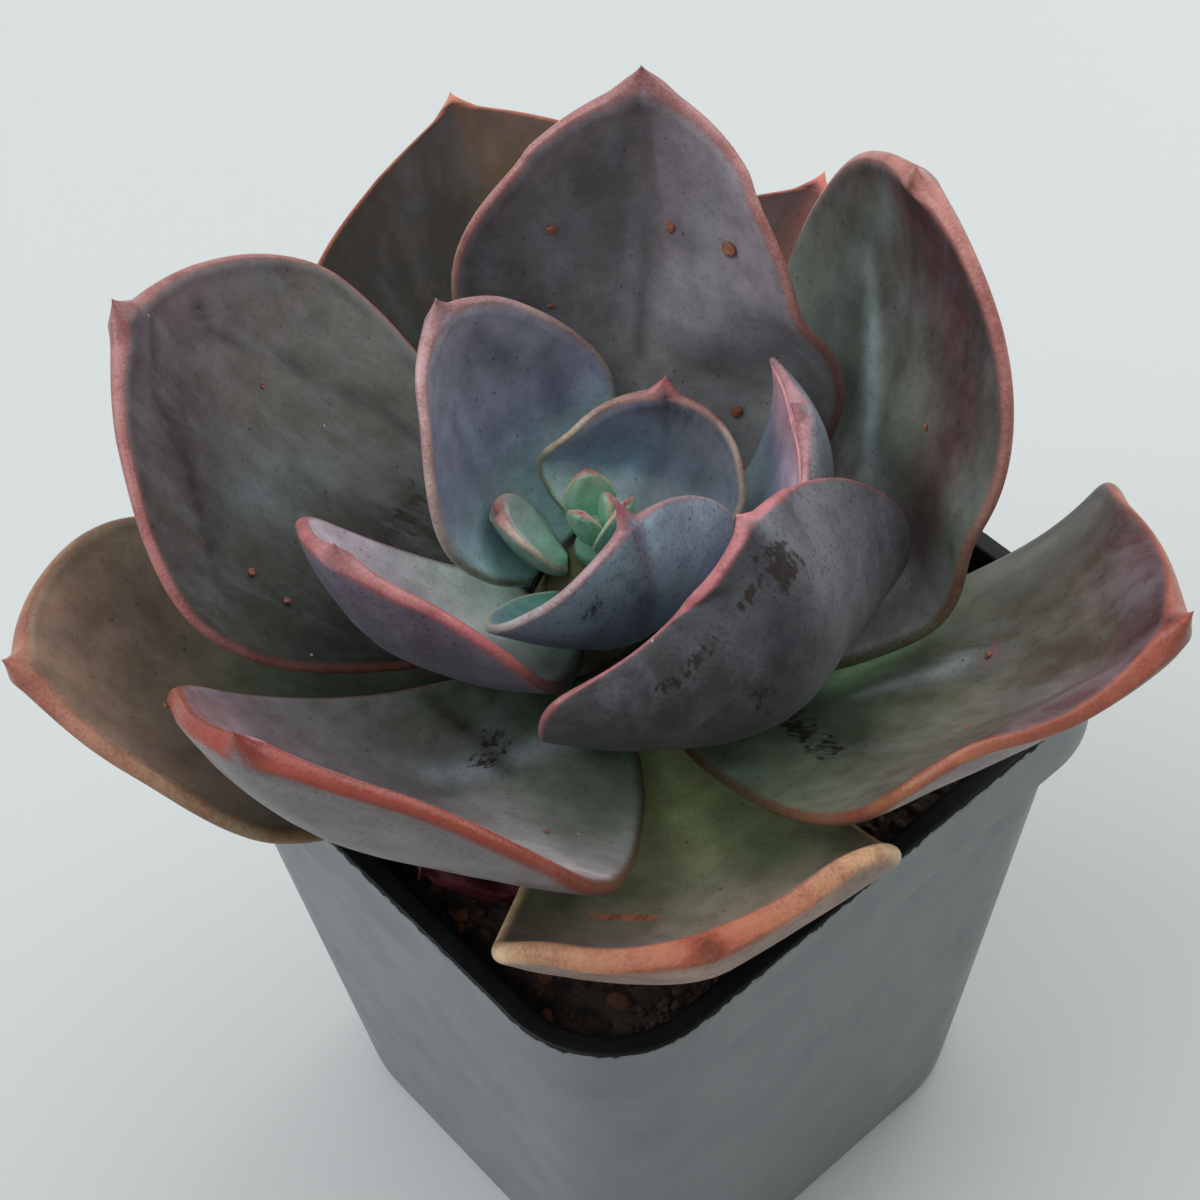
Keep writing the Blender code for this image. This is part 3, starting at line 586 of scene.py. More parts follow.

# %% [markdown]
# ## Leaf colours
# An echeveria's skin is green below and flushes grey-plum where the sun reaches it, under a film of
# pale wax that rubs off in streaks. Young leaves are bluer and paler. The margin is clear flesh that
# turns yellow-green at the foot, pink higher up and red at the tip. Few leaves are lit or tanned alike,
# so each gets a row of its own, and the light and shade on it are partly painted into its colours.
# The dark lines in creases and along midribs are strokes of painted shade. Some pale strokes are painted
# highlights, some dark ones are painted shade at a leaf's foot or under a younger leaf, one pale green one
# is painted light under a younger leaf, and the rest are the skin's own paler or darker patches. A stroke
# without a colour is a scar, which the material tears into scratches.

# %% Colours of each leaf
# flesh: colours at foot, middle and tip. margin: the same for the margin. under: colour of the underside.
# wax: how much it keeps. edge: thickness of the margin. band: width of its colour, in millimetres.
# sides: how much lighter or darker the right and left halves are painted: painted light and shade
# as the light falls on each half, with some of its own tone. point: half width of the pointed tip, over the
# leaf's.
Looks = namedtuple("Looks", "flesh margin under wax edge band sides point")
LOOKS = {
    "leaf_heart": Looks(("#6fae8c", "#7fb59a", "#9ab5a0"), ("#8fb890", "#a9b795", "#b0686c"),
        "#7fae92", 0.3, 0.3, 0.12, (1.0, 1.0), 0.28),
    "leaf_young_1": Looks(("#8fc4a8", "#a3c0b6", "#b4b8b8"), ("#a9b79a", "#c7b4a6", "#b65b66"),
        "#86ab98", 0.35, 0.5, 0.28, (1.0, 1.0), 0.28),
    "leaf_young_2": Looks(("#e7f9f7", "#607486", "#423e4a"), ("#8fae82", "#a89a8c", "#ac6068"),
        "#66817a", 0.5, 0.6, 0.36, (0.58, 1.73), 0.44),
    "leaf_young_3": Looks(("#4d8779", "#587880", "#746d7e"), ("#8fae8e", "#a59d9f", "#955b62"),
        "#7b919e", 0.5, 0.8, 0.34, (0.79, 1.25), 0.28),
    "leaf_inner_1": Looks(("#a2cfcb", "#80869d", "#78767f"), ("#6f8a74", "#b89a99", "#9f7a7e"),
        "#686371", 0.55, 0.8, 0.42, (1.05, 0.96), 0.42),
    "leaf_inner_2": Looks(("#bce7d6", "#818ba3", "#f9a4a7"), ("#7a9580", "#a08e94", "#a67b81"),
        "#80888f", 0.55, 0.5, 0.3, (1.0, 1.0), 0.28),
    "leaf_inner_3": Looks(("#93b1a1", "#b2a4ad", "#a396a0"), ("#4f5a4c", "#a75d5f", "#a26f70"),
        "#5b5763", 0.5, 1.0, 0.55, (1.44, 0.69), 0.36),
    "leaf_inner_4": Looks(("#608270", "#575d66", "#5d5561"), ("#7a6a60", "#a8686c", "#b47478"),
        "#525357", 0.5, 0.8, 0.38, (0.61, 1.63), 0.28),
    "leaf_wide_1": Looks(("#747c79", "#737074", "#6f676c"), ("#5a5650", "#a87874", "#9d7273"),
        "#7a7178", 0.3, 0.9, 0.45, (1.33, 0.75), 0.55),
    "leaf_wide_2": Looks(("#12170d", "#494b45", "#584b4e"), ("#4a3e36", "#a56e6b", "#976a6a"),
        "#7f7578", 0.4, 0.9, 0.45, (1.19, 0.84), 0.42),
    "leaf_wide_3": Looks(("#f9f9f9", "#677066", "#442e31"), ("#5f7a5c", "#a46e6a", "#ac756c"),
        "#7f7578", 0.3, 1.0, 0.5, (0.96, 1.04), 0.28),
    "leaf_wide_4": Looks(("#52684b", "#8a8486", "#a77680"), ("#4a5248", "#86402f", "#823b32"),
        "#615858", 0.5, 1.3, 0.48, (0.73, 1.37), 0.28),
    "leaf_wide_5": Looks(("#74927a", "#666656", "#4d2d31"), ("#4a5240", "#8f5a3e", "#9a5646"),
        "#7c6c68", 0.45, 1.1, 0.45, (1.03, 0.98), 0.28),
    "leaf_old_1": Looks(("#14200a", "#1a1a0a", "#2a180a"), ("#50502e", "#ab6753", "#c07c65"),
        "#7a6f66", 0.12, 1.1, 0.5, (2.06, 0.49), 0.42),
    "leaf_old_2": Looks(("#3b412f", "#40483b", "#896e5d"), ("#50502e", "#89755c", "#9b6758"),
        "#7a6f66", 0.2, 1.2, 0.5, (1.15, 0.87), 0.42),
    "leaf_old_3": Looks(("#2e301e", "#3c261e", "#43241d"), ("#50502e", "#a8604e", "#c8786d"),
        "#7a665d", 0.12, 1.1, 0.5, (1.79, 0.56), 0.42),
    "leaf_old_4": Looks(("#a9bf82", "#72745b", "#8c6f72"), ("#8a7c54", "#dcc096", "#94523e"),
        "#8b7265", 0.25, 1.7, 0.8, (0.97, 1.03), 0.28),
    "leaf_old_5": Looks(("#402834", "#41182b", "#471d32"), ("#2c1420", "#34141f", "#34141f"),
        "#563141", 0.15, 1.4, 0.4, (1.0, 1.0), 0.28),
}

# %% Marks of each leaf
# path: places along the leaf, from 0 to 1, and across it, from -1 to 1. width in millimetres.
Mark = namedtuple("Mark", "path width colour strength")
MARKS = {
    "leaf_wide_2": (
        # Painted shade: dark lines in two creases
        Mark(((0.91, -0.24), (0.84, 0.3), (0.75, 0.34), (0.69, 0.48), (0.6, 0.73)), 0.9, "#1c171a", 0.65),
        Mark(((0.84, -0.55), (0.78, -0.41), (0.69, -0.46), (0.58, -0.51), (0.42, -0.61), (0.34, -0.6)),
             0.9, "#1c171a", 0.6),
        # Painted highlight: a pale grey patch
        Mark(((0.62, 0.3), (0.5, -0.1)), 4.5, "#687173", 0.45),
        # Painted shade: a dark patch low on the leaf, towards its foot
        Mark(((0.36, 0.3), (0.26, -0.3)), 5.0, "#262820", 0.65),
        Mark(((0.3, -0.3), (0.34, 0.1)), 5.0, None, 0.55),
    ),
    "leaf_wide_1": (
        # Painted shade: a dark line along the midrib's fold
        Mark(((0.92, -0.1), (0.73, -0.04), (0.56, -0.02), (0.42, 0.0)), 1.3, "#363138", 0.55),
        # Painted light: a paler patch on the right half, which faces the window
        Mark(((0.8, -0.6), (0.5, -0.35)), 5.0, "#6a6a73", 0.4),
    ),
    "leaf_wide_3": (
        # Painted shade: a dark line in the midrib's crease
        Mark(((0.93, 0.1), (0.71, -0.02), (0.54, -0.12), (0.42, -0.16)), 1.1, "#362f2d", 0.6),
        # Painted highlight: a pale streak beside the midrib
        Mark(((0.7, 0.42), (0.56, 0.06), (0.46, -0.2)), 2.2, "#a8bbbe", 0.6),
        Mark(((0.85, 0.5), (0.6, 0.55), (0.35, 0.5)), 5.0, "#63716a", 0.6),
        Mark(((0.88, -0.4), (0.65, -0.6), (0.45, -0.6)), 6.0, "#4a2c2e", 0.8),
    ),
    "leaf_wide_5": (
        Mark(((0.55, 0.55), (0.78, 0.2)), 5.0, "#565144", 0.7),
        # Painted highlight: a pale streak along the midrib
        Mark(((0.36, 0.0), (0.45, 0.13), (0.52, 0.2)), 1.5, "#b6c6ce", 0.65),
        # Painted light: pale green low on the leaf, where leaf_inner_4 shades it
        Mark(((0.2, 0.5), (0.3, 0.3), (0.36, 0.6)), 6.0, "#9ccb98", 0.8),
        # Painted shadow: dark green low on the leaf, under leaf_inner_4
        Mark(((0.22, -0.2), (0.3, -0.35), (0.42, -0.4)), 5.0, "#232f20", 0.65),
        Mark(((0.56, 0.18), (0.57, 0.3)), 0.7, "#8e4441", 0.7),
        Mark(((0.27, -0.3), (0.33, -0.42), (0.4, -0.5)), 3.4, None, 0.72),
    ),
    "leaf_wide_4": (
        # Painted highlight: a pale silvery streak low on the leaf
        Mark(((0.38, -0.22), (0.27, -0.1), (0.18, 0.15)), 2.6, "#aebbc5", 0.6),
        # Painted shade: a dark band across the leaf near its foot
        Mark(((0.24, -0.8), (0.25, -0.36), (0.28, -0.05)), 2.6, "#2c2d25", 0.8),
        Mark(((0.45, 0.1), (0.62, -0.1), (0.8, -0.3)), 5.0, "#5c4a4c", 0.5),
        Mark(((0.3, 0.6), (0.2, 0.6)), 4.0, "#6b8075", 0.5),
        Mark(((0.3, -0.15), (0.22, -0.28)), 3.0, None, 0.62),
        # Painted shade: near-black at the leaf's foot
        Mark(((0.06, 0.4), (0.14, 0.5)), 4.0, "#161b16", 0.7),
    ),
    "leaf_old_4": (
        Mark(((0.58, -0.54), (0.6, -0.24)), 0.7, "#cf6334", 0.85),
        Mark(((0.36, 0.3), (0.5, 0.5)), 4.0, "#496841", 0.6),
    ),
    "leaf_inner_1": (
        # Painted highlight: a pale streak
        Mark(((0.7, 0.16), (0.45, 0.2), (0.22, 0.4)), 1.4, "#9ba6b9", 0.5),
        # Painted shade: two dark patches on the right half
        Mark(((0.8, -0.4), (0.65, -0.42)), 2.5, "#3f414c", 0.5),
        Mark(((0.62, -0.7), (0.45, -0.6)), 2.5, "#3f414c", 0.45),
    ),
    "leaf_young_3": (
        Mark(((0.98, -0.02), (0.9, -0.05), (0.66, 0.0), (0.5, 0.0)), 1.4, "#614a5b", 0.6),
        Mark(((0.76, -0.46), (0.72, -0.52)), 1.6, None, 0.7),
        Mark(((0.81, -0.31), (0.67, -0.03)), 0.6, "#3c3846", 0.5),
    ),
    "leaf_inner_4": (
        Mark(((0.97, -0.18), (0.88, -0.15), (0.7, -0.15)), 0.6, "#403844", 0.7),
        Mark(((0.93, -0.06), (0.87, 0.0)), 2.2, None, 0.8),
        Mark(((0.9, -0.22), (0.87, -0.34)), 1.2, None, 0.9),
        Mark(((0.82, -0.5), (0.7, -0.66)), 1.8, None, 0.75),
        Mark(((0.68, -0.22), (0.6, -0.17)), 2.2, None, 0.7),
        Mark(((0.64, 0.74), (0.66, 0.74)), 1.0, None, 0.8),
        Mark(((0.84, 0.5), (0.92, 0.35)), 6.0, "#4a464e", 0.5),
        Mark(((0.42, 0.4), (0.55, 0.55)), 6.0, "#85878e", 0.5),
    ),
    "leaf_old_1": (
        Mark(((0.4, 0.2), (0.6, 0.4)), 5.0, None, 0.6),
        Mark(((0.25, 0.3), (0.4, 0.5)), 4.0, "#68442d", 0.5),
    ),
    "leaf_old_2": (
        Mark(((0.6, -0.6), (0.75, -0.3)), 3.5, "#68564f", 0.4),
        Mark(((0.58, 0.5), (0.76, 0.55)), 6.0, "#33231d", 0.6),
    ),
}
print("marks:", sum(len(marks) for marks in MARKS.values()), "on", len(MARKS), "leaves")

# %% [markdown]
# ## A leaf's skin
# The fine leaf has about eight thousand points, closer together at the margin, where its form is
# tightest. numpy paints its colours on the points as attributes, which the material then reads: they
# follow the leaf wherever it bends. A low swell of the surface, a slight ridge inside the margin and the
# pressed-in creases keep the light from lying evenly.

# %% Attributes of a leaf
FLAT_POINTS, RING_COUNT = 39, 84
even = np.linspace(-1, 1, FLAT_POINTS + 2)[1:-1]
FINE_FLATS = even * (1.5 - 0.5 * even ** 2)
FINE_ANGLES = np.radians(np.linspace(90, -90, 9))
UNDER_MARKS = ("leaf_inner_4", "leaf_young_3")      # these turn their undersides up
CREASE_WIDTH, CREASE_DEPTH = 1.2, 0.10              # narrower marks are also pressed in


def three(colours, t, places=(0.12, 0.5, 0.92)):
    """Colours at t along a leaf, from the three at its foot, middle and tip."""
    stops = np.array([linear(c) for c in colours])
    return np.stack([np.interp(t, places, stops[:, k]) for k in range(4)], -1)


def fine_form(leaf):
    """The form of the leaf as it is shown: a softer point and a thinner margin than the solid's."""
    return Form(LOOKS[leaf.name].point, 1.3, 0.14, LOOKS[leaf.name].edge)


def margin_distance(leaf, t, s):
    """Distance in millimetres from the outline, square to it."""
    form, step = fine_form(leaf), 0.004
    width = half_width(leaf, t, form)
    wider = half_width(leaf, np.clip(t + step, 0, 1), form) - half_width(leaf, t - step, form)
    slope = wider / (2 * step * leaf.length)
    across = (1 - np.abs(s)) * width / np.sqrt(1 + slope ** 2)
    to_tip = (1 - t) * leaf.length
    return np.minimum(across * np.clip(to_tip / (1.4 * leaf.cusp), 0.1, 1), to_tip)


def stroke(leaf, path, width, t, s):
    """How strongly a soft stroke covers each place, 0 to 1."""
    spot = np.stack([t * leaf.length, s * half_width(leaf, t)], -1)
    bends = np.array([(a * leaf.length, b * half_width(leaf, np.array(a))) for a, b in path])
    near = np.full(t.shape, np.inf)
    for first, second in zip(bends[:-1], bends[1:]):
        run = second - first
        share = np.clip(((spot - first) @ run) / (run @ run), 0, 1)
        near = np.minimum(near, np.linalg.norm(spot - first - share[..., None] * run, axis=-1))
    return np.exp(-(near / (0.6 * width)) ** 2)


def swell(points, seed, size):
    """A slow uneven wave through space, from -1 to 1."""
    random = np.random.default_rng(seed)
    total = 0
    for _ in range(5):
        direction = random.normal(size=3)
        direction *= random.uniform(0.7, 1.5) / np.linalg.norm(direction)
        total = total + np.sin(points @ direction * 2 * math.pi / size + random.uniform(0, 6.3))
    return total / 5


def dress(leaf, t, s, lift, points):
    """Attributes of each point of a leaf."""
    looks = LOOKS[leaf.name]
    upper = np.clip(0.5 + lift, 0, 1)
    flesh = three(looks.flesh, t)
    below = np.array(linear(looks.under))
    seed = leaf.place + 40
    # Painted light and shade: the right and left halves of the flesh are lightened or darkened as the light
    # falls on them, and a leaf that turns its underside up gets the same on its underside.
    half = np.clip(0.5 + s / 0.4, 0, 1)
    half = looks.sides[0] + (looks.sides[1] - looks.sides[0]) * half * half * (3 - 2 * half)
    flesh[:, :3] *= (half + 0.10 * swell(points, seed, 11.0) + 0.06 * swell(points, seed + 1, 4.0))[:, None]
    under = np.tile(below, (len(t), 1))
    shown = half if leaf.name in UNDER_MARKS else 1.0
    under[:, :3] *= (shown * (0.92 + 0.16 * t) + 0.08 * swell(points, seed + 2, 9.0))[:, None]
    scar = np.zeros_like(t)
    target, facing = (under, 1 - upper) if leaf.name in UNDER_MARKS else (flesh, upper)
    for mark in MARKS.get(leaf.name, ()):
        share = stroke(leaf, mark.path, mark.width, t, s) * mark.strength
        if mark.colour:
            target += (np.array(linear(mark.colour)) - target) * share[:, None]
        else:
            scar = np.maximum(scar, share * facing)
    colour = under + (flesh - under) * upper[:, None]
    distance = margin_distance(leaf, t, s)
    return {
        "flesh": colour,
        "margin_colour": three(looks.margin, t, (0.15, 0.78, 0.97)),
        "margin": np.clip(1 - distance / (2.5 * looks.band), 0, 1),
        "wax": np.clip(looks.wax * (1 + 0.5 * swell(points, seed + 3, 14.0)), 0, 1),
        "scar": scar,
        "under": 1 - upper,
        "lie": np.stack([s * half_width(leaf, t), t * leaf.length, 20.0 * leaf.place + 9 * upper], -1) * MM,
    }


def relief(leaf, t, s, lift, points):
    """Height of the fine surface over the plain one, in millimetres."""
    distance = margin_distance(leaf, t, s)
    inside = np.clip(distance / 3, 0, 1) * np.clip(t / 0.2, 0, 1)
    waves = 0.16 * swell(points, leaf.place + 60, 13.0) + 0.05 * swell(points, leaf.place + 80, 5.0)
    ridge = 0.10 * np.exp(-((distance - 1.0) / 0.5) ** 2) * np.clip(lift, 0, 1) * np.clip((1 - t) / 0.1, 0, 1)
    height = waves * inside + ridge
    facing = lift < 0 if leaf.name in UNDER_MARKS else lift > 0
    for mark in MARKS.get(leaf.name, ()):
        if mark.width < CREASE_WIDTH:
            height = height - CREASE_DEPTH * stroke(leaf, mark.path, mark.width, t, s) * facing
    return height


# %% [markdown]
# ## Leaf skin as a material
# It is a living leaf's cuticle: a clear skin over coloured flesh, matt where wax crystals cover it and
# silkier where they are rubbed off, with a refractive index of about 1.45. Light enters young flesh, so
# subsurface scattering softens it; older leaves are too thick and dark for it to show, and go without.
# Dark dots of 0.4 mm stipple the skin, wax lies in streaks along the leaf, scars are torn into scratches,
# and the coloured margin is blotched with red and breaks up into fine granules at its inner edge.

# %% Leaf material
SKIN_ATTRIBUTES = (("flesh", "Color"), ("margin_colour", "Color"), ("margin", "Fac"), ("wax", "Fac"),
                   ("scar", "Fac"), ("under", "Fac"), ("lie", "Vector"))


def waxy_skin(name, roughness, scatter, sheen, shine):
    """The cuticle of a leaf, with its roughness, subsurface weight, sheen weight and specular level."""
    look, tree, shader = new_material(name, IOR=1.45, Metallic=0.0, Subsurface_Weight=scatter,
                                      Subsurface_Scale=MM, Sheen_Weight=sheen, Sheen_Roughness=0.45,
                                      Specular_IOR_Level=shine)
    shader.inputs["Subsurface Radius"].default_value = (1.2, 0.6, 0.35)
    shader.inputs["Sheen Tint"].default_value = linear("#c9d4e6")
    add = partial(node, tree)
    place = add("TexCoord", (), "Object")
    flesh, margin_colour, margin, wax, scar, under, lie = (
        add("Attribute", (), out, attribute_name=title) for title, out in SKIN_ATTRIBUTES)
    drawn_out = add("Mapping", {"Vector": lie, "Scale": (1.0, 0.35, 1.0)})
    mottle, clouds, blush, dots, granules, streaks, scratches = (
        add("TexNoise", {"Vector": where, "Scale": grain(size), "Detail": detail, "Roughness": rough})
        for where, size, detail, rough in (
            (place, 3.0, 3.0, 0.65), (place, 9.0, 2.0, 0.6), (place, 3.5, 3.0, 0.65), (place, 0.4, 1.0, 0.5),
            (place, 0.3, 1.0, 0.5), (drawn_out, 3.5, 4.0, 0.65), (drawn_out, 0.6, 3.0, 0.7)))
    cells, flecks = (add("TexVoronoi", {"Vector": place, "Scale": grain(size)}, "Distance")
                     for size in (1.5, 6.0))

    # Cloudy flesh under streaks of wax
    mottled = add("MapRange", (mottle, 0.30, 0.70, 0.84, 1.16), **SMOOTH)
    clouded = add("MapRange", (clouds, 0.32, 0.66, 0.85, 1.15), **SMOOTH)
    cloudy = add("Math", (mottled, clouded), operation="MULTIPLY")
    shade = add("VectorMath", {0: flesh, "Scale": cloudy}, operation="SCALE")
    streaked = add("MapRange", (streaks, 0.40, 0.72), **SMOOTH)
    bloom = add("Math", (streaked, wax), operation="MULTIPLY")
    film = add("Math", (bloom, 0.32), operation="MULTIPLY")
    colour = add("Mix", {0: film, 6: shade, 7: linear("#a3abb8")}, 2, **COLOUR)

    # Over it dots, more of them on the underside, then dark specks, pale flecks and torn scratches
    dotted = add("MapRange", (dots, 0.56, 0.66), **SMOOTH)
    amount = add("Math", (under, 0.22, 0.14), operation="MULTIPLY_ADD")
    dotted = add("Math", (dotted, amount), operation="MULTIPLY")
    speck = add("Math", (mottle, 0.3, cells), operation="MULTIPLY_ADD")
    speck = add("MapRange", (speck, 0.20, 0.26, 0.55, 0.0), **SMOOTH)
    fleck = add("MapRange", (flecks, 0.020, 0.030, 0.7, 0.0), **SMOOTH)
    torn = add("Math", (scar, 1.6), operation="SUBTRACT")
    torn = add("Math", (scratches, 2.2, torn), operation="MULTIPLY_ADD")
    torn = add("MapRange", (torn, 0.0, 0.25, 0.0, 0.85), **SMOOTH)
    cork = add("Mix", {0: granules, 6: linear("#120d0b"), 7: linear("#35261e")}, 2, **COLOUR)
    for share, laid in ((dotted, linear("#2a2226")), (speck, linear("#1d1718")), (fleck, linear("#c9c4bf")),
                        (torn, cork)):
        colour = add("Mix", {0: share, 6: colour, 7: laid}, 2, **COLOUR)

    # The margin, frayed by granules and blotched with red, most of all on its inner side
    edge = add("Math", (granules, 0.36, margin), operation="MULTIPLY_ADD")
    edge = add("Math", (mottle, 0.12, edge), operation="MULTIPLY_ADD")
    edge = add("Math", (edge, 0.24), operation="SUBTRACT")
    red = add("Math", (granules, 0.9), operation="MULTIPLY")
    red = add("Math", (blush, 1.6, red), operation="MULTIPLY_ADD")
    inner_side = add("Math", (edge, 0.5, 0.75), operation="MULTIPLY_ADD")
    red = add("Math", (red, inner_side), operation="SUBTRACT")
    red = add("MapRange", (red, -0.35, 0.55), **SMOOTH)
    lighter = add("VectorMath", {0: margin_colour, "Scale": 1.1}, operation="SCALE")
    redder = add("Mix", {0: 0.6, 6: margin_colour, 7: linear("#6f2d28")}, 2, **COLOUR)
    rim = add("Mix", {0: red, 6: lighter, 7: redder}, 2, **COLOUR)
    at_edge = add("MapRange", (edge, 0.28, 0.95), **SMOOTH)
    colour = add("Mix", {0: at_edge, 6: colour, 7: rim}, 2, **COLOUR)
    tree.links.new(colour, shader.inputs["Base Color"])

    # Wax is matt, and the margin glossier than the rest
    matt = add("Math", (mottle, 0.25, bloom), operation="MULTIPLY_ADD")
    matt = add("MapRange", (matt, 0.0, 0.7, roughness - 0.08, roughness + 0.12), **SMOOTH)
    moist = add("MapRange", (margin, 0.3, 0.9), **SMOOTH)
    matt = add("Math", (moist, -0.12, matt), operation="MULTIPLY_ADD")
    tree.links.new(matt, shader.inputs["Roughness"])
    grains = add("Math", (granules, margin), operation="MULTIPLY")
    bumped(tree, shader, ((mottle, 0.08), (grains, 0.06)))
    return look


SKINS = {       # roughness, scatter, sheen and shine of each age
    "young": waxy_skin("waxy_skin_young_leaf", 0.46, 0.22, 0.06, 0.4),
    "inner": waxy_skin("waxy_skin_inner_leaf", 0.46, 0.0, 0.06, 0.4),
    "wide": waxy_skin("waxy_skin_wide_leaf", 0.42, 0.0, 0.0, 0.4),
    "old": waxy_skin("waxy_skin_old_leaf", 0.48, 0.0, 0.0, 0.22),
}
print("skins:", [look.name for look in SKINS.values()])

# %% Leaves


def grow_leaf(leaf, look, push=None, start=0.0, rings=RING_COUNT, lifted=0.0):
    form = fine_form(leaf)
    stations = stations_of(leaf, start, rings, form, radius=0.12)
    points, t, s, lift = leaf_points(leaf, push, stations, FINE_FLATS, FINE_ANGLES, form)
    normals = sheet_normals(leaf, t, s, push, form)
    direction = np.where(np.abs(lift)[:, None] > 0.7, normals * np.sign(lift)[:, None], 0)
    points = points + direction * relief(leaf, t, s, lift, points)[:, None]
    count = 2 * (len(FINE_FLATS) + len(FINE_ANGLES))
    faces = skin(points, count - (len(FINE_ANGLES) + 1) // 2, count)
    return add_object(leaf.name + "_flesh", points + (0, 0, lifted), faces, look,
                      dress(leaf, t, s, lift, points))


for leaf in LEAVES:
    age = leaf.name.split("_")[1]
    piece = grow_leaf(leaf, SKINS[age], *SUNK[leaf.name])
    settle(piece, [leaf.name])

# %% [markdown]
# ## Heart
# In the middle sit the smallest leaves, still folded round each other and grown together, bright
# green with pink points. They are small copies of the same leaf around a short core.

# %% Heart bud
HEART_LEAVES = (                # turn, length, width, slope at the foot, height of the foot on the core
    (12, 8.5, 6.0, 52, 0.9),
    (150, 7.0, 5.0, 58, 1.4),
    (287, 5.5, 4.2, 64, 2.0),
    (65, 4.5, 3.4, 70, 2.5),
)
HEART_BASE, HEART_GREEN, HEART_WAX = 85.5, "#7fae92", 0.3
CORE_RINGS, CORE_SIDES = ((2.2, 0.0), (1.9, 1.0), (1.5, 2.0), (1.1, 3.0), (0.6, 4.0)), 24   # radius, height


def join(parts, name):
    """One mesh object of several, with their attributes."""
    with bpy.context.temp_override(active_object=parts[0], selected_editable_objects=parts,
                                   selected_objects=parts):
        bpy.ops.object.join()
    parts[0].name = name
    return parts[0]


heart_parts = []
for turn, length, width, slope, foot in HEART_LEAVES:
    bud = Leaf("leaf_heart", 0, turn, 0, length, width, (slope, 88), 1.0, (0, 0), (5, 5), (15, 15), 0.5,
               0, 2.0, length / 20)
    lifted = HEART_BASE + foot - LOWEST_BASE - CROWN_RISE
    heart_parts.append(grow_leaf(bud, SKINS["young"], rings=30, lifted=lifted))
turns = np.linspace(0, 2 * math.pi, CORE_SIDES, endpoint=False)
core_points = [(AXIS[0] + r * math.cos(a), AXIS[1] + r * math.sin(a), HEART_BASE + z)
               for r, z in CORE_RINGS for a in turns]
core_points += [(*AXIS, HEART_BASE), (*AXIS, HEART_BASE + CORE_RINGS[-1][1])]
core_faces = closed_rings(CORE_SIDES, len(CORE_RINGS))
green, none = np.tile(linear(HEART_GREEN), (len(core_points), 1)), np.zeros(len(core_points))
heart_parts.append(add_object("core", core_points, core_faces, SKINS["young"], {
    "flesh": green, "margin_colour": green, "margin": none, "wax": none + HEART_WAX, "scar": none,
    "under": none, "lie": np.array(core_points) * MM}))
heart = join(heart_parts, "heart_bud_leaves")
settle(heart, ["heart_bud"])

# %% [markdown]
# ## Geometry Nodes
# What repeats or follows a rule is grown by a node tree built here: the pot's walls, the crumbs and
# bark of the soil, and the corky spots. Each tree has named inputs. Its result is turned into a plain
# mesh, because the exported part keeps no modifiers or instances.

# %% Trees and their results


def new_tree(name, **inputs):
    """An empty Geometry Nodes tree with these inputs, each a whole number, a length or a material."""
    tree = bpy.data.node_groups.new(name, "GeometryNodeTree")
    tree.interface.new_socket("Geometry", in_out="INPUT", socket_type="NodeSocketGeometry")
    for title, value in inputs.items():
        kind = {int: "NodeSocketInt", float: "NodeSocketFloat"}.get(type(value), "NodeSocketMaterial")
        socket = tree.interface.new_socket(title.replace("_", " "), in_out="INPUT", socket_type=kind)
        socket.default_value = value
    tree.interface.new_socket("Geometry", in_out="OUTPUT", socket_type="NodeSocketGeometry")
    return tree, node(tree, "NodeGroupInput", out=None).outputs, node(tree, "NodeGroupOutput", out=None)


def finish_tree(tree, geometry, way_out, look):
    real = node(tree, "RealizeInstances", {"Geometry": geometry})
    dressed = node(tree, "SetMaterial", {"Geometry": real, "Material": look})
    tree.links.new(dressed, way_out.inputs[0])


def grow(name, base, tree, **values):
    """Run a tree on a mesh object and keep only the mesh that it makes."""
    modifier = base.modifiers.new("Grow", "NODES")
    modifier.node_group = tree
    named = {item.name: item.identifier for item in tree.interface.items_tree if item.in_out == "INPUT"}
    for title, value in values.items():
        modifier[named[title.replace("_", " ")]] = value
    graph = bpy.context.evaluated_depsgraph_get()
    mesh = bpy.data.meshes.new_from_object(base.evaluated_get(graph), depsgraph=graph)
    base.modifiers.remove(modifier)
    grown = bpy.data.objects.new(name, mesh)
    grown.data.name = name
    scene.collection.objects.link(grown)
    return grown


# %% [markdown]
# ## Pot
# The pot is polypropylene sheet in two layers, grey outside and black inside, drawn hot into a square
# mould and trimmed at the rim. That leaves satin walls, a band around the rim, and a black edge with
# burrs where the knife tore it. Its rule is simple: one upright profile, swept round a square whose
# corners are rounded. The tree reads half the width, the corner's radius and the height from the
# profile's points, and lays a grid of points by them.

# %% Pot profile
POT_FOOT_SIDE, FOOT_CORNER, TOP_CORNER = 55.0, 13.0, 11.5
BAND_HEIGHT, BAND_STEP, WALL, FLOOR = 8.7, 1.6, 1.2, 1.6
DRAIN_RADIUS, DRAIN_OFFSET = 3.5, 15.0


def wall_side(z):
    """Outer width of the wall, below the band."""
    top = POT_TOP_SIDE - 2 * BAND_STEP - 1.2
    return POT_FOOT_SIDE + (top - POT_FOOT_SIDE) * z / (POT_HEIGHT - BAND_HEIGHT)


def cavity_side(z):
    """Width of the space inside the pot."""
    low, high = POT_FOOT_SIDE - 2 * WALL, POT_TOP_SIDE - 2 * LIP
    return low + (high - low) * z / POT_HEIGHT


def corner_at(z):
    return FOOT_CORNER + (TOP_CORNER - FOOT_CORNER) * z / POT_HEIGHT


def arc(centre_side, centre_z, radius, first, last, corner, steps=5):
    """Profile points round a quarter of an edge. Angles are in degrees from outwards to up."""
    turns = np.radians(np.linspace(first, last, steps))
    return [(centre_side / 2 + radius * math.cos(a), corner, centre_z + radius * math.sin(a)) for a in turns]


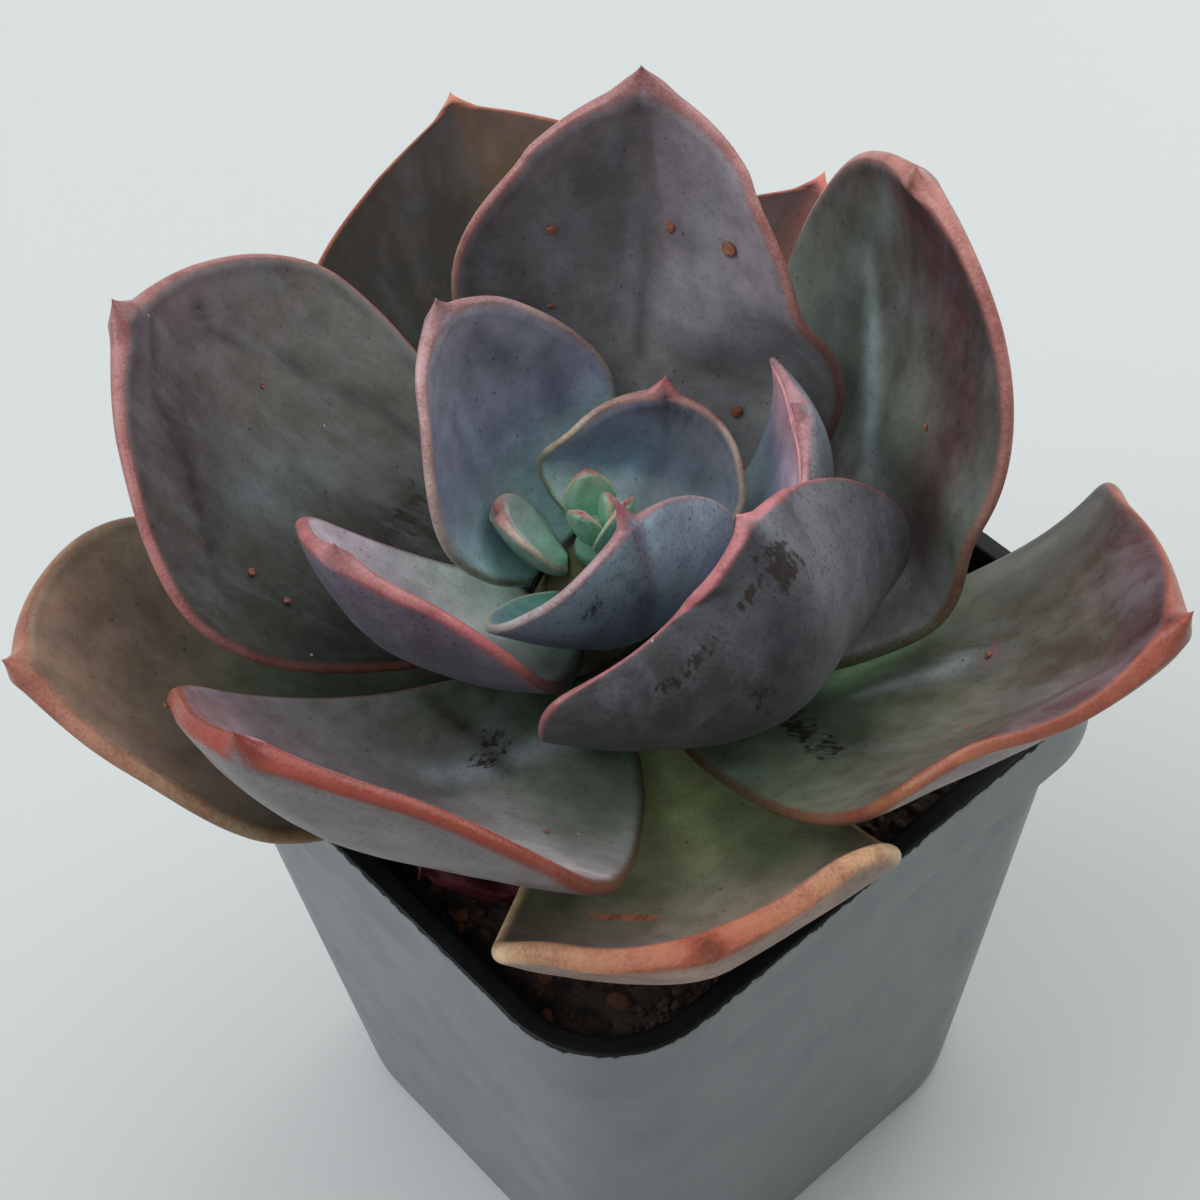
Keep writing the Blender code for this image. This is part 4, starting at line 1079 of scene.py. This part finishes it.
band_foot = POT_HEIGHT - BAND_HEIGHT
profile = [(0.0, 0.0, 0.0), (POT_FOOT_SIDE / 4, FOOT_CORNER / 2, 0.0)]
profile += arc(wall_side(0) - 1.6, 0.8, 0.8, -90, -8, FOOT_CORNER - 1)
profile += [(wall_side(z) / 2, corner_at(z) - 1, z) for z in np.linspace(3, band_foot - 0.6, 14)]
profile += [(wall_side(band_foot) / 2 + 0.1, TOP_CORNER - 1, band_foot - 0.1)]
profile += arc(POT_TOP_SIDE - 1.6, band_foot + 0.7, 0.6, -80, 0, TOP_CORNER - 0.2)
profile += [(POT_TOP_SIDE / 2 - 0.2 + 0.2 * u, TOP_CORNER - 0.2 + 0.2 * u, z)
            for u, z in ((0.3, band_foot + 3), (0.7, band_foot + 6), (0.95, POT_HEIGHT - 0.75))]
flash_row = len(profile)
profile += [(POT_TOP_SIDE / 2 - 0.02, TOP_CORNER, POT_HEIGHT - 0.5),
            (POT_TOP_SIDE / 2 - 0.05, TOP_CORNER, POT_HEIGHT - 0.3)]
profile += arc(POT_TOP_SIDE - 0.6, POT_HEIGHT - 0.25, 0.25, 30, 90, TOP_CORNER - 0.2, 4)
profile += arc(cavity_side(POT_HEIGHT) + 1.0, POT_HEIGHT - 0.5, 0.5, 90, 175, TOP_CORNER - LIP, 6)
profile += [(cavity_side(z) / 2, corner_at(z) - LIP, z)
            for z in np.linspace(POT_HEIGHT - 1.5, FLOOR + 1.4, 10)]
profile += arc(cavity_side(FLOOR) - 2.4, FLOOR + 1.2, 1.2, 0, -90, corner_at(0) - LIP - 1, 5)
profile += [(cavity_side(FLOOR) / 4, 5.0, FLOOR), (0.0, 0.0, FLOOR)]
flash = np.zeros(len(profile))
flash[flash_row:flash_row + 4] = (1.0, 0.8, 0.5, 0.2)
profile_mesh = bpy.data.meshes.new("pot_profile")
profile_mesh.from_pydata((np.array(profile) * MM).tolist(), [(k, k + 1) for k in range(len(profile) - 1)], [])
profile_mesh.attributes.new("flash", "FLOAT", "POINT").data.foreach_set("value", flash.astype(np.float32))
profile_object = bpy.data.objects.new("pot_profile", profile_mesh)
scene.collection.objects.link(profile_object)
print("pot profile:", len(profile), "points")

# %% Pot tree


def pot_tree():
    tree, given, way_out = new_tree("swept_pot", Corner_steps=16, Side_steps=90, Burr=0.2 * MM,
                                    Burr_grain=grain(0.9), Drain_radius=DRAIN_RADIUS * MM,
                                    Drain_offset=DRAIN_OFFSET * MM, Material=board_look)
    add = partial(node, tree)
    plus, times = {"operation": "ADD"}, {"operation": "MULTIPLY"}
    corner_steps, side_steps = given["Corner steps"], given["Side steps"]

    # A grid with a row for each point of the profile and columns all the way round
    rows = add("AttributeDomainSize", {"Geometry": given["Geometry"]}, "Point Count", component="MESH")
    quarter_steps = add("Math", (corner_steps, side_steps), **plus)
    columns = add("Math", (quarter_steps, 4.0, 1.0), operation="MULTIPLY_ADD")
    grid = add("MeshGrid", {"Vertices X": columns, "Vertices Y": rows}, "Mesh")
    index = add("InputIndex")
    row = add("Math", (index, rows), operation="MODULO")
    column = add("Math", (index, 0.5), **plus)
    column = add("Math", (column, rows), operation="DIVIDE")
    column = add("Math", (column,), operation="FLOOR")

    # Where a column stands: its quarter, how far round the corner, how far along the side after it
    quarter = add("Math", (column, 0.01), **plus)
    quarter = add("Math", (quarter, quarter_steps), operation="DIVIDE")
    quarter = add("Math", (quarter,), operation="FLOOR")
    before = add("Math", (quarter, quarter_steps), **times)
    step = add("Math", (column, before), operation="SUBTRACT")
    bend = add("Math", (step, corner_steps), operation="MINIMUM")
    bend = add("Math", (bend, corner_steps), operation="DIVIDE")
    run = add("Math", (step, corner_steps), operation="SUBTRACT")
    run = add("Math", (run, 0.0), operation="MAXIMUM")
    run = add("Math", (run, side_steps), operation="DIVIDE")
    angle = add("Math", (quarter, bend), **plus)
    angle = add("Math", (angle, math.pi / 2), **times)
    corner_turn = add("Math", (quarter, math.pi / 2, math.pi / 4), operation="MULTIPLY_ADD")

    def sampled(value, kind):
        return add("SampleIndex", {"Geometry": given["Geometry"], "Value": value, "Index": row},
                   data_type=kind)

    # The row's point of the profile: half the width, the corner's radius and the height
    spot = add("SeparateXYZ", {0: sampled(add("InputPosition"), "FLOAT_VECTOR")}, out=None).outputs
    burr = sampled(add("InputNamedAttribute", {"Name": "flash"}, data_type="FLOAT"), "FLOAT")
    inner = add("Math", (spot["X"], spot["Y"]), operation="SUBTRACT")
    centre = add("Math", (inner, math.sqrt(2)), **times)
    side = add("Math", (inner, 2.0), **times)
    side = add("Math", (side, run), **times)

    def place(wave, other, sign):
        """One coordinate: the corner's centre, its radius, and the run along the straight side."""
        start = add("Math", (centre, add("Math", (corner_turn,), operation=wave)), **times)
        bow = add("Math", (spot["Y"], add("Math", (angle,), operation=wave)), **times)
        straight = add("Math", (side, sign), **times)
        straight = add("Math", (straight, add("Math", (angle,), operation=other)), **times)
        return add("Math", (add("Math", (start, bow), **plus), straight), **plus)

    laid = add("CombineXYZ", {"X": place("COSINE", "SINE", -1.0), "Y": place("SINE", "COSINE", 1.0),
                              "Z": spot["Z"]})

    # Burrs push the trimmed edge outwards
    torn = add("TexNoise", {"Vector": laid, "Scale": given["Burr grain"], "Detail": 3.0})
    torn = add("Math", (torn, 2.6, -1.0), operation="MULTIPLY_ADD")
    torn = add("Math", (torn, 0.0), operation="MAXIMUM")
    torn = add("Math", (torn, burr), **times)
    torn = add("Math", (torn, given["Burr"]), **times)
    outward = add("CombineXYZ", {"X": add("Math", (angle,), operation="COSINE"),
                                 "Y": add("Math", (angle,), operation="SINE"), "Z": -0.35})
    offset = add("VectorMath", {0: outward, "Scale": torn}, operation="SCALE")
    walls = add("SetPosition", {"Geometry": grid, "Position": laid, "Offset": offset})
    walls = add("MergeByDistance", {"Geometry": walls, "Distance": 0.002 * MM})

    # Four drills cut the drain holes
    apart = add("Math", (given["Drain offset"], 2.0), **times)
    spots = add("MeshGrid", {"Size X": apart, "Size Y": apart, "Vertices X": 2, "Vertices Y": 2}, "Mesh")
    drill = add("MeshCylinder", {"Vertices": 40, "Radius": given["Drain radius"], "Depth": 8 * MM}, "Mesh")
    drills = add("InstanceOnPoints", {"Points": spots, "Instance": drill})
    drills = add("RealizeInstances", {"Geometry": drills})
    drilled = add("MeshBoolean", {"Mesh 1": walls, "Mesh 2": drills}, "Mesh", operation="DIFFERENCE")
    finish_tree(tree, drilled, way_out, given["Material"])
    return tree


# %% Pot material


def drawn_plastic():
    """Two-layer polypropylene: satin grey outside with faint flow lines and smudges, black inside."""
    look, tree, shader = new_material("drawn_polypropylene", IOR=1.49, Metallic=0.0)
    add = partial(node, tree)
    place = add("TexCoord", (), "Object")
    inside = add("Attribute", (), "Fac", attribute_name="inside")
    stretched = add("Mapping", {"Vector": place, "Scale": (1.0, 1.0, 0.12)})
    flow = add("TexNoise", {"Vector": stretched, "Scale": grain(5.0), "Detail": 3.0})
    smudge = add("TexNoise", {"Vector": place, "Scale": grain(7.0), "Detail": 5.0, "Roughness": 0.6})
    torn = add("TexNoise", {"Vector": place, "Scale": grain(0.8), "Detail": 3.0})
    pores = add("TexNoise", {"Vector": place, "Scale": grain(0.6)})
    grey = add("Mix", {0: flow, 6: linear("#666b6d"), 7: linear("#6c7173")}, 2, **COLOUR)
    smudged = add("MapRange", (smudge, 0.60, 0.74, 0.0, 0.2), **SMOOTH)
    grey = add("Mix", {0: smudged, 6: grey, 7: linear("#565c60")}, 2, **COLOUR)
    black = add("Mix", {0: smudge, 6: linear("#08090b"), 7: linear("#121417")}, 2, **COLOUR)
    height = add("SeparateXYZ", {0: place}, "Z")
    edge = add("Math", (torn, 0.8 * MM, height), operation="MULTIPLY_ADD")
    top = add("MapRange", (edge, (POT_HEIGHT + 0.08) * MM, (POT_HEIGHT + 0.14) * MM), **SMOOTH)
    dark = add("Math", (inside, top), operation="MAXIMUM")
    for socket, value in (("Base Color", add("Mix", {0: dark, 6: grey, 7: black}, 2, **COLOUR)),
                          ("Roughness", add("MapRange", (smudge, 0.3, 0.8, 0.36, 0.5), **SMOOTH)),
                          ("Specular IOR Level", add("MapRange", (dark, 0.0, 1.0, 0.5, 0.2), **SMOOTH))):
        tree.links.new(value, shader.inputs[socket])
    bumped(tree, shader, ((pores, 0.015),))
    return look


# %% Pot
drawn = drawn_plastic()
pot = grow("square_pot", profile_object, pot_tree(), Material=drawn)
bpy.data.objects.remove(profile_object, do_unlink=True)
corners = np.empty(len(pot.data.vertices) * 3, np.float32)
pot.data.vertices.foreach_get("co", corners)
corners = corners.reshape(-1, 3) / MM
reach = np.abs(corners[:, :2]) - (cavity_side(corners[:, 2:]) / 2 - corner_at(corners[:, 2:]) + LIP)
outline = np.linalg.norm(np.maximum(reach, 0), axis=1) + np.minimum(reach.max(1), 0)
outline -= corner_at(corners[:, 2]) - LIP
within = (outline < 0.25) & (corners[:, 2] > FLOOR - 0.2)
pot.data.attributes.new("inside", "FLOAT", "POINT").data.foreach_set("value", within.astype(np.float32))
shape = bmesh.new()
shape.from_mesh(pot.data)
print("pot: volume", round(shape.calc_volume(signed=True) / MM ** 3), "cubic mm, open edges",
      sum(not e.is_manifold for e in shape.edges))
shape.free()
pot.data.shade_smooth()
settle(pot, ["pot"])

# %% [markdown]
# ## Soil
# The plant stands in dark peat with crumbs, bits of bark and a little pale grit. One closed body fills
# the pot, with the stem's hole in it. Over it a tree scatters crumbs of three kinds, each a dented ball
# of a few dozen faces. A seed fixes where they fall.

# %% Soil body
STEM_RADIUS, STEM_HOLE_DEPTH = 4.6, 15.0
SOIL_CORNER_STEPS, SOIL_SIDE_STEPS, SOIL_RINGS = 12, 30, 44


def square_ring(side, corner, corner_steps=SOIL_CORNER_STEPS, side_steps=SOIL_SIDE_STEPS):
    """Points of a square with rounded corners."""
    points = []
    inner = side / 2 - corner
    for quarter in range(4):
        middle = math.radians(45 + 90 * quarter)
        centre = (math.copysign(inner, math.cos(middle)), math.copysign(inner, math.sin(middle)))
        for step in range(corner_steps + 1):
            angle = math.radians(90 * quarter + 90 * step / corner_steps)
            points.append((centre[0] + corner * math.cos(angle), centre[1] + corner * math.sin(angle)))
        last, run = points[-1], (2 * inner * math.cos(angle), 2 * inner * math.sin(angle))
        points += [(last[0] - run[1] * k / side_steps, last[1] + run[0] * k / side_steps)
                   for k in range(1, side_steps)]
    return np.array(points)


def soil_body():
    rings = []
    for z in (FLOOR + GAP, 30.0, SOIL_TOP - 2.0):
        rings.append(np.c_[square_ring(cavity_side(z) - 2 * GAP, corner_at(z) - LIP),
                           np.full(4 * (SOIL_CORNER_STEPS + SOIL_SIDE_STEPS), z)])
    outer = square_ring(cavity_side(SOIL_TOP) - 2 * GAP, corner_at(SOIL_TOP) - LIP)
    angles = np.arctan2(outer[:, 1] - AXIS[1], outer[:, 0] - AXIS[0])
    hole = np.array(AXIS) + (STEM_RADIUS + GAP + 0.1) * np.c_[np.cos(angles), np.sin(angles)]
    for share in np.linspace(0, 1, SOIL_RINGS):
        flat = outer + (hole - outer) * share
        height = soil_height(flat[:, 0], flat[:, 1])
        solid = np.c_[flat, height]
        height = height + 0.5 * swell(solid, 5, 6.0) + 0.3 * swell(solid, 6, 2.6) - 0.3
        rings.append(np.c_[flat, height - 0.7 * max(0, 0.08 - share) / 0.08])
    rings.append(np.c_[hole, np.full(len(hole), SOIL_TOP - STEM_HOLE_DEPTH)])
    points = np.vstack(rings + [(0, 0, FLOOR + GAP), (*AXIS, SOIL_TOP - STEM_HOLE_DEPTH)])
    return points, closed_rings(len(outer), len(rings))


def peat(name, dark, light, warm, roughness):
    """Milled sphagnum peat: fibrous, matt and nearly black when damp."""
    look, tree, shader = new_material(name, IOR=1.45, Metallic=0.0, Roughness=roughness)
    add = partial(node, tree)
    place = add("TexCoord", (), "Object")
    coarse = add("TexNoise", {"Vector": place, "Scale": grain(2.5), "Detail": 4.0, "Roughness": 0.7})
    fine = add("TexNoise", {"Vector": place, "Scale": grain(0.5), "Detail": 3.0})
    clods = add("MapRange", (coarse, 0.35, 0.7), **SMOOTH)
    colour = add("Mix", {0: clods, 6: linear(dark), 7: linear(light)}, 2, **COLOUR)
    fibres = add("MapRange", (fine, 0.6, 0.72, 0.0, 0.5), **SMOOTH)
    colour = add("Mix", {0: fibres, 6: colour, 7: linear(warm)}, 2, **COLOUR)
    tree.links.new(colour, shader.inputs["Base Color"])
    bumped(tree, shader, ((coarse, 0.8), (fine, 0.25)))
    return look


peat_look = peat("milled_peat", "#14100d", "#40332b", "#5c4232", 0.9)
soil = add_object("peat", *soil_body(), peat_look)
settle(soil, ["soil"])

# %% Crumb tree


def dented(tree, geometry, depth, size):
    """Push a mesh's points to and fro by a noise of this grain, to this depth, in millimetres."""
    add = partial(node, tree)
    place = add("InputPosition")
    push = add("TexNoise", {"Vector": place, "Scale": grain(size), "Detail": 2.0}, "Color")
    push = add("VectorMath", (push, (0.5, 0.5, 0.5)), operation="SUBTRACT")
    depth = add("Math", (depth, MM), operation="MULTIPLY")
    push = add("VectorMath", {0: push, "Scale": depth}, operation="SCALE")
    return add("SetPosition", {"Geometry": geometry, "Offset": push})


def crumb_tree():
    tree, given, way_out = new_tree("scattered_crumbs", Density=1.0, Seed=1, Smallest=0.5 * MM,
                                    Largest=1.4 * MM, Flatness=0.7, Ball_detail=2, Dents=0.35,
                                    Material=peat_look)
    add = partial(node, tree)
    upright = add("SeparateXYZ", {0: add("InputNormal")}, "Z")
    height = add("SeparateXYZ", {0: add("InputPosition")}, "Z")
    level = add("Math", (upright, 0.3), operation="GREATER_THAN")
    high = add("Math", (height, (SOIL_TOP - 4) * MM), operation="GREATER_THAN")
    top = add("BooleanMath", {0: level, 1: high}, operation="AND")
    points = add("DistributePointsOnFaces", {"Mesh": given["Geometry"], "Selection": top,
                                             "Density": given["Density"], "Seed": given["Seed"]})
    ball = add("MeshIcoSphere", {"Radius": 0.5, "Subdivisions": given["Ball detail"]})

    def chance(kind, low, high, salt):
        seed = add("Math", (given["Seed"], salt), operation="ADD")
        return add("RandomValue", {"Min": low, "Max": high, "Seed": seed},
                   0 if kind == "FLOAT_VECTOR" else 1, data_type=kind)

    size = add("Math", (chance("FLOAT", 0.0, 1.0, 11.0), 2.0), operation="POWER")
    size = add("MapRange", {0: size, 3: given["Smallest"], 4: given["Largest"]})
    turn = chance("FLOAT_VECTOR", (-0.5, -0.5, -3.1), (0.5, 0.5, 3.1), 12.0)
    narrow = add("Math", (size, chance("FLOAT", 0.5, 1.0, 13.0)), operation="MULTIPLY")
    flat = add("Math", (size, given["Flatness"]), operation="MULTIPLY")
    scale = add("CombineXYZ", {"X": size, "Y": narrow, "Z": flat})
    spots = add("InstanceOnPoints", {"Points": points, "Instance": ball, "Rotation": turn, "Scale": scale})
    tone = chance("FLOAT", 0.0, 1.0, 14.0)
    spots = add("StoreNamedAttribute", {"Geometry": spots, "Name": "tone", "Value": tone},
                data_type="FLOAT", domain="INSTANCE")
    real = add("RealizeInstances", {"Geometry": spots})
    finish_tree(tree, dented(tree, real, given["Dents"], 0.7), way_out, given["Material"])
    return tree


# %% Crumbs and bark


def toned(name, first, second, size, roughness):
    """A crumb's material: each crumb has its own tone between two colours."""
    look, tree, shader = new_material(name, IOR=1.45, Metallic=0.0, Roughness=roughness)
    add = partial(node, tree)
    place = add("TexCoord", (), "Object")
    tone = add("Attribute", (), "Fac", attribute_name="tone")
    fibre = add("TexNoise", {"Vector": place, "Scale": grain(size), "Detail": 3.0, "Roughness": 0.7})
    tone = add("Math", (tone, 0.7), operation="MULTIPLY")
    fibres = add("Math", (fibre, 0.6, -0.15), operation="MULTIPLY_ADD")
    share = add("Math", (tone, fibres), operation="ADD")
    colour = add("Mix", {0: share, 6: linear(first), 7: linear(second)}, 2, **COLOUR)
    tree.links.new(colour, shader.inputs["Base Color"])
    bumped(tree, shader, ((fibre, 0.3),))
    return look


crumbs_tree = crumb_tree()
SCATTERS = (    # name, per square metre, seed, sizes, flatness, material
    ("peat_crumbs", 400000.0, 3, 0.5, 1.7, 0.8, toned("peat_crumb", "#100c0a", "#4a3b31", 0.6, 0.9)),
    ("bark_chips", 22000.0, 5, 0.9, 3.0, 0.55, toned("composted_pine_bark", "#261a13", "#7a5036", 0.8, 0.85)),
    ("pale_grit", 9000.0, 8, 0.4, 1.0, 0.8, toned("pumice_grit", "#6b5c50", "#b3a596", 0.5, 0.85)),
)
for name, density, seed, smallest, largest, flatness, look in SCATTERS:
    bits = grow(name, soil, crumbs_tree, Density=density, Seed=seed, Smallest=smallest * MM,
                Largest=largest * MM, Flatness=flatness, Material=look)
    if name == "bark_chips":
        bits.data.shade_flat()
    else:
        bits.data.shade_smooth()
    settle(bits, [])

# %% [markdown]
# ## Stem
# A short, corky stem joins the rosette to its roots. Dropped leaves left flat scars round it, in the
# same spiral. It is turned from its profile, with the scars pressed in by code.

# %% Stem
STEM_PROFILE = ((0, 53), (3, 53.5), (4.3, 56), (STEM_RADIUS, 64), (STEM_RADIUS, 67.2), (7.4, 70.5), (7.4, 74),
                (6.8, 77), (5.6, 80), (4.2, 82.5), (2.8, 84.3), (1.6, 85.2), (0, 85.2))


def stem_body(columns=72, rows=90):
    knots = np.array(STEM_PROFILE[1:-1])
    run = np.append(0, np.cumsum(np.linalg.norm(np.diff(knots, axis=0), axis=1)))
    even = np.linspace(0, run[-1], rows)
    radius, height = np.interp(even, run, knots[:, 0]), np.interp(even, run, knots[:, 1])
    turns = np.linspace(0, 2 * math.pi, columns, endpoint=False)
    a, r = np.meshgrid(turns, radius)
    z = np.repeat(height[:, None], columns, 1)
    scars = np.zeros_like(r)
    for k in range(24):
        turn, level = math.radians(137.5 * k), 66 + 0.8 * k
        away = np.angle(np.exp(1j * (a - turn))) * r
        scars = np.minimum(scars, -0.3 * np.exp(-(away / 1.8) ** 2 - ((z - level) / 0.6) ** 2))
    r = r + scars
    points = np.stack([AXIS[0] + r * np.cos(a), AXIS[1] + r * np.sin(a), z], -1).reshape(-1, 3)
    points = np.vstack([points, (*AXIS, STEM_PROFILE[0][1]), (*AXIS, STEM_PROFILE[-1][1])])
    return points, closed_rings(columns, rows)


cork_look, cork_tree, cork_shader = new_material("corky_stem_skin", IOR=1.45, Metallic=0.0, Roughness=0.75)
cork_place = node(cork_tree, "TexCoord", (), "Object")
cork_grain = node(cork_tree, "TexNoise",
                  {"Vector": cork_place, "Scale": grain(1.2), "Detail": 5.0, "Roughness": 0.65})
cork_tone = node(cork_tree, "Mix", {0: cork_grain, 6: linear("#3d3a28"), 7: linear("#7c7656")}, 2, **COLOUR)
cork_tree.links.new(cork_tone, cork_shader.inputs["Base Color"])
bumped(cork_tree, cork_shader, ((cork_grain, 0.25),))
stem = add_object("scarred_stem", *stem_body(), cork_look)
settle(stem, ["stem"])

# %% [markdown]
# ## Corky spots
# Old wounds heal into small raised spots of orange-brown cork. A tree sets a dented, flattened bead on
# each place and turns it to lie on the leaf.

# %% Spots
SPOTS = {       # leaf: places along and across its upper face, with the spot's size in millimetres
    "leaf_wide_1": ((0.67, 0.54, 1.0), (0.68, -0.17, 1.1), (0.69, -0.6, 1.6), (0.33, -0.46, 1.2),
                    (0.5, 0.5, 0.6)),
    "leaf_wide_2": ((0.65, -0.31, 0.6), (0.49, -0.01, 0.6), (0.55, 0.59, 0.8), (0.47, 0.65, 0.7)),
    "leaf_wide_4": ((0.59, -0.41, 0.8), (0.4, 0.5, 0.5)),
    "leaf_wide_5": ((0.56, 0.23, 0.8), (0.62, -0.3, 0.6)),
    "leaf_old_2": ((0.7, 0.1, 0.9), (0.55, -0.4, 0.6)),
    "leaf_old_4": ((0.59, -0.44, 1.0), (0.6, -0.32, 0.9), (0.71, 0.01, 1.1)),
    "leaf_old_1": ((0.45, 0.3, 0.9), (0.6, -0.2, 0.7)),
    "leaf_wide_3": ((0.6, -0.4, 0.7), (0.4, 0.4, 0.6)),
}
by_name = {leaf.name: leaf for leaf in LEAVES}
spot_points, spot_normals, spot_sizes = [], [], []
for name, places in SPOTS.items():
    leaf, push = by_name[name], SUNK[name][0]
    t, s, size = np.array(places).T
    normals = sheet_normals(leaf, t, s, push)
    spot_points.append(sheet(leaf, t, s, push) + normals * half_thickness(leaf, t, s)[:, None])
    spot_normals.append(normals)
    spot_sizes.append(size * MM)
spot_mesh = bpy.data.meshes.new("spot_places")
spot_mesh.from_pydata((np.vstack(spot_points) * MM).tolist(), [], [])
for title, kind, part, values in (("outward", "FLOAT_VECTOR", "vector", np.vstack(spot_normals).ravel()),
                                  ("size", "FLOAT", "value", np.concatenate(spot_sizes))):
    spot_mesh.attributes.new(title, kind, "POINT").data.foreach_set(part, values)
spot_object = bpy.data.objects.new("spot_places", spot_mesh)
scene.collection.objects.link(spot_object)


def spot_tree():
    tree, given, way_out = new_tree("corky_spots", Flatness=0.24, Dents=0.5, Material=cork_look)
    add = partial(node, tree)
    outward = add("InputNamedAttribute", {"Name": "outward"}, data_type="FLOAT_VECTOR")
    size = add("InputNamedAttribute", {"Name": "size"}, data_type="FLOAT")
    turn = add("AlignRotationToVector", {"Vector": outward}, axis="Z")
    ball = add("MeshIcoSphere", {"Radius": 0.5, "Subdivisions": 3})
    flat = add("Math", (size, given["Flatness"]), operation="MULTIPLY")
    scale = add("CombineXYZ", {"X": size, "Y": size, "Z": flat})
    beads = add("InstanceOnPoints", {"Points": given["Geometry"], "Instance": ball, "Rotation": turn,
                                     "Scale": scale})
    real = add("RealizeInstances", {"Geometry": beads})
    finish_tree(tree, dented(tree, real, given["Dents"], 0.5), way_out, given["Material"])
    return tree


wound_look, wound_tree, wound_shader = new_material("wound_cork", IOR=1.45, Metallic=0.0, Roughness=0.7)
wound_place = node(wound_tree, "TexCoord", (), "Object")
wound_grain = node(wound_tree, "TexNoise", {"Vector": wound_place, "Scale": grain(0.8)})
wound_tone = node(wound_tree, "Mix", {0: wound_grain, 6: linear("#6a3c2e"), 7: linear("#a06a50")}, 2,
                  **COLOUR)
wound_tree.links.new(wound_tone, wound_shader.inputs["Base Color"])
spots = grow("corky_spots", spot_object, spot_tree(), Material=wound_look)
bpy.data.objects.remove(spot_object, do_unlink=True)
spots.data.shade_smooth()
settle(spots, [])
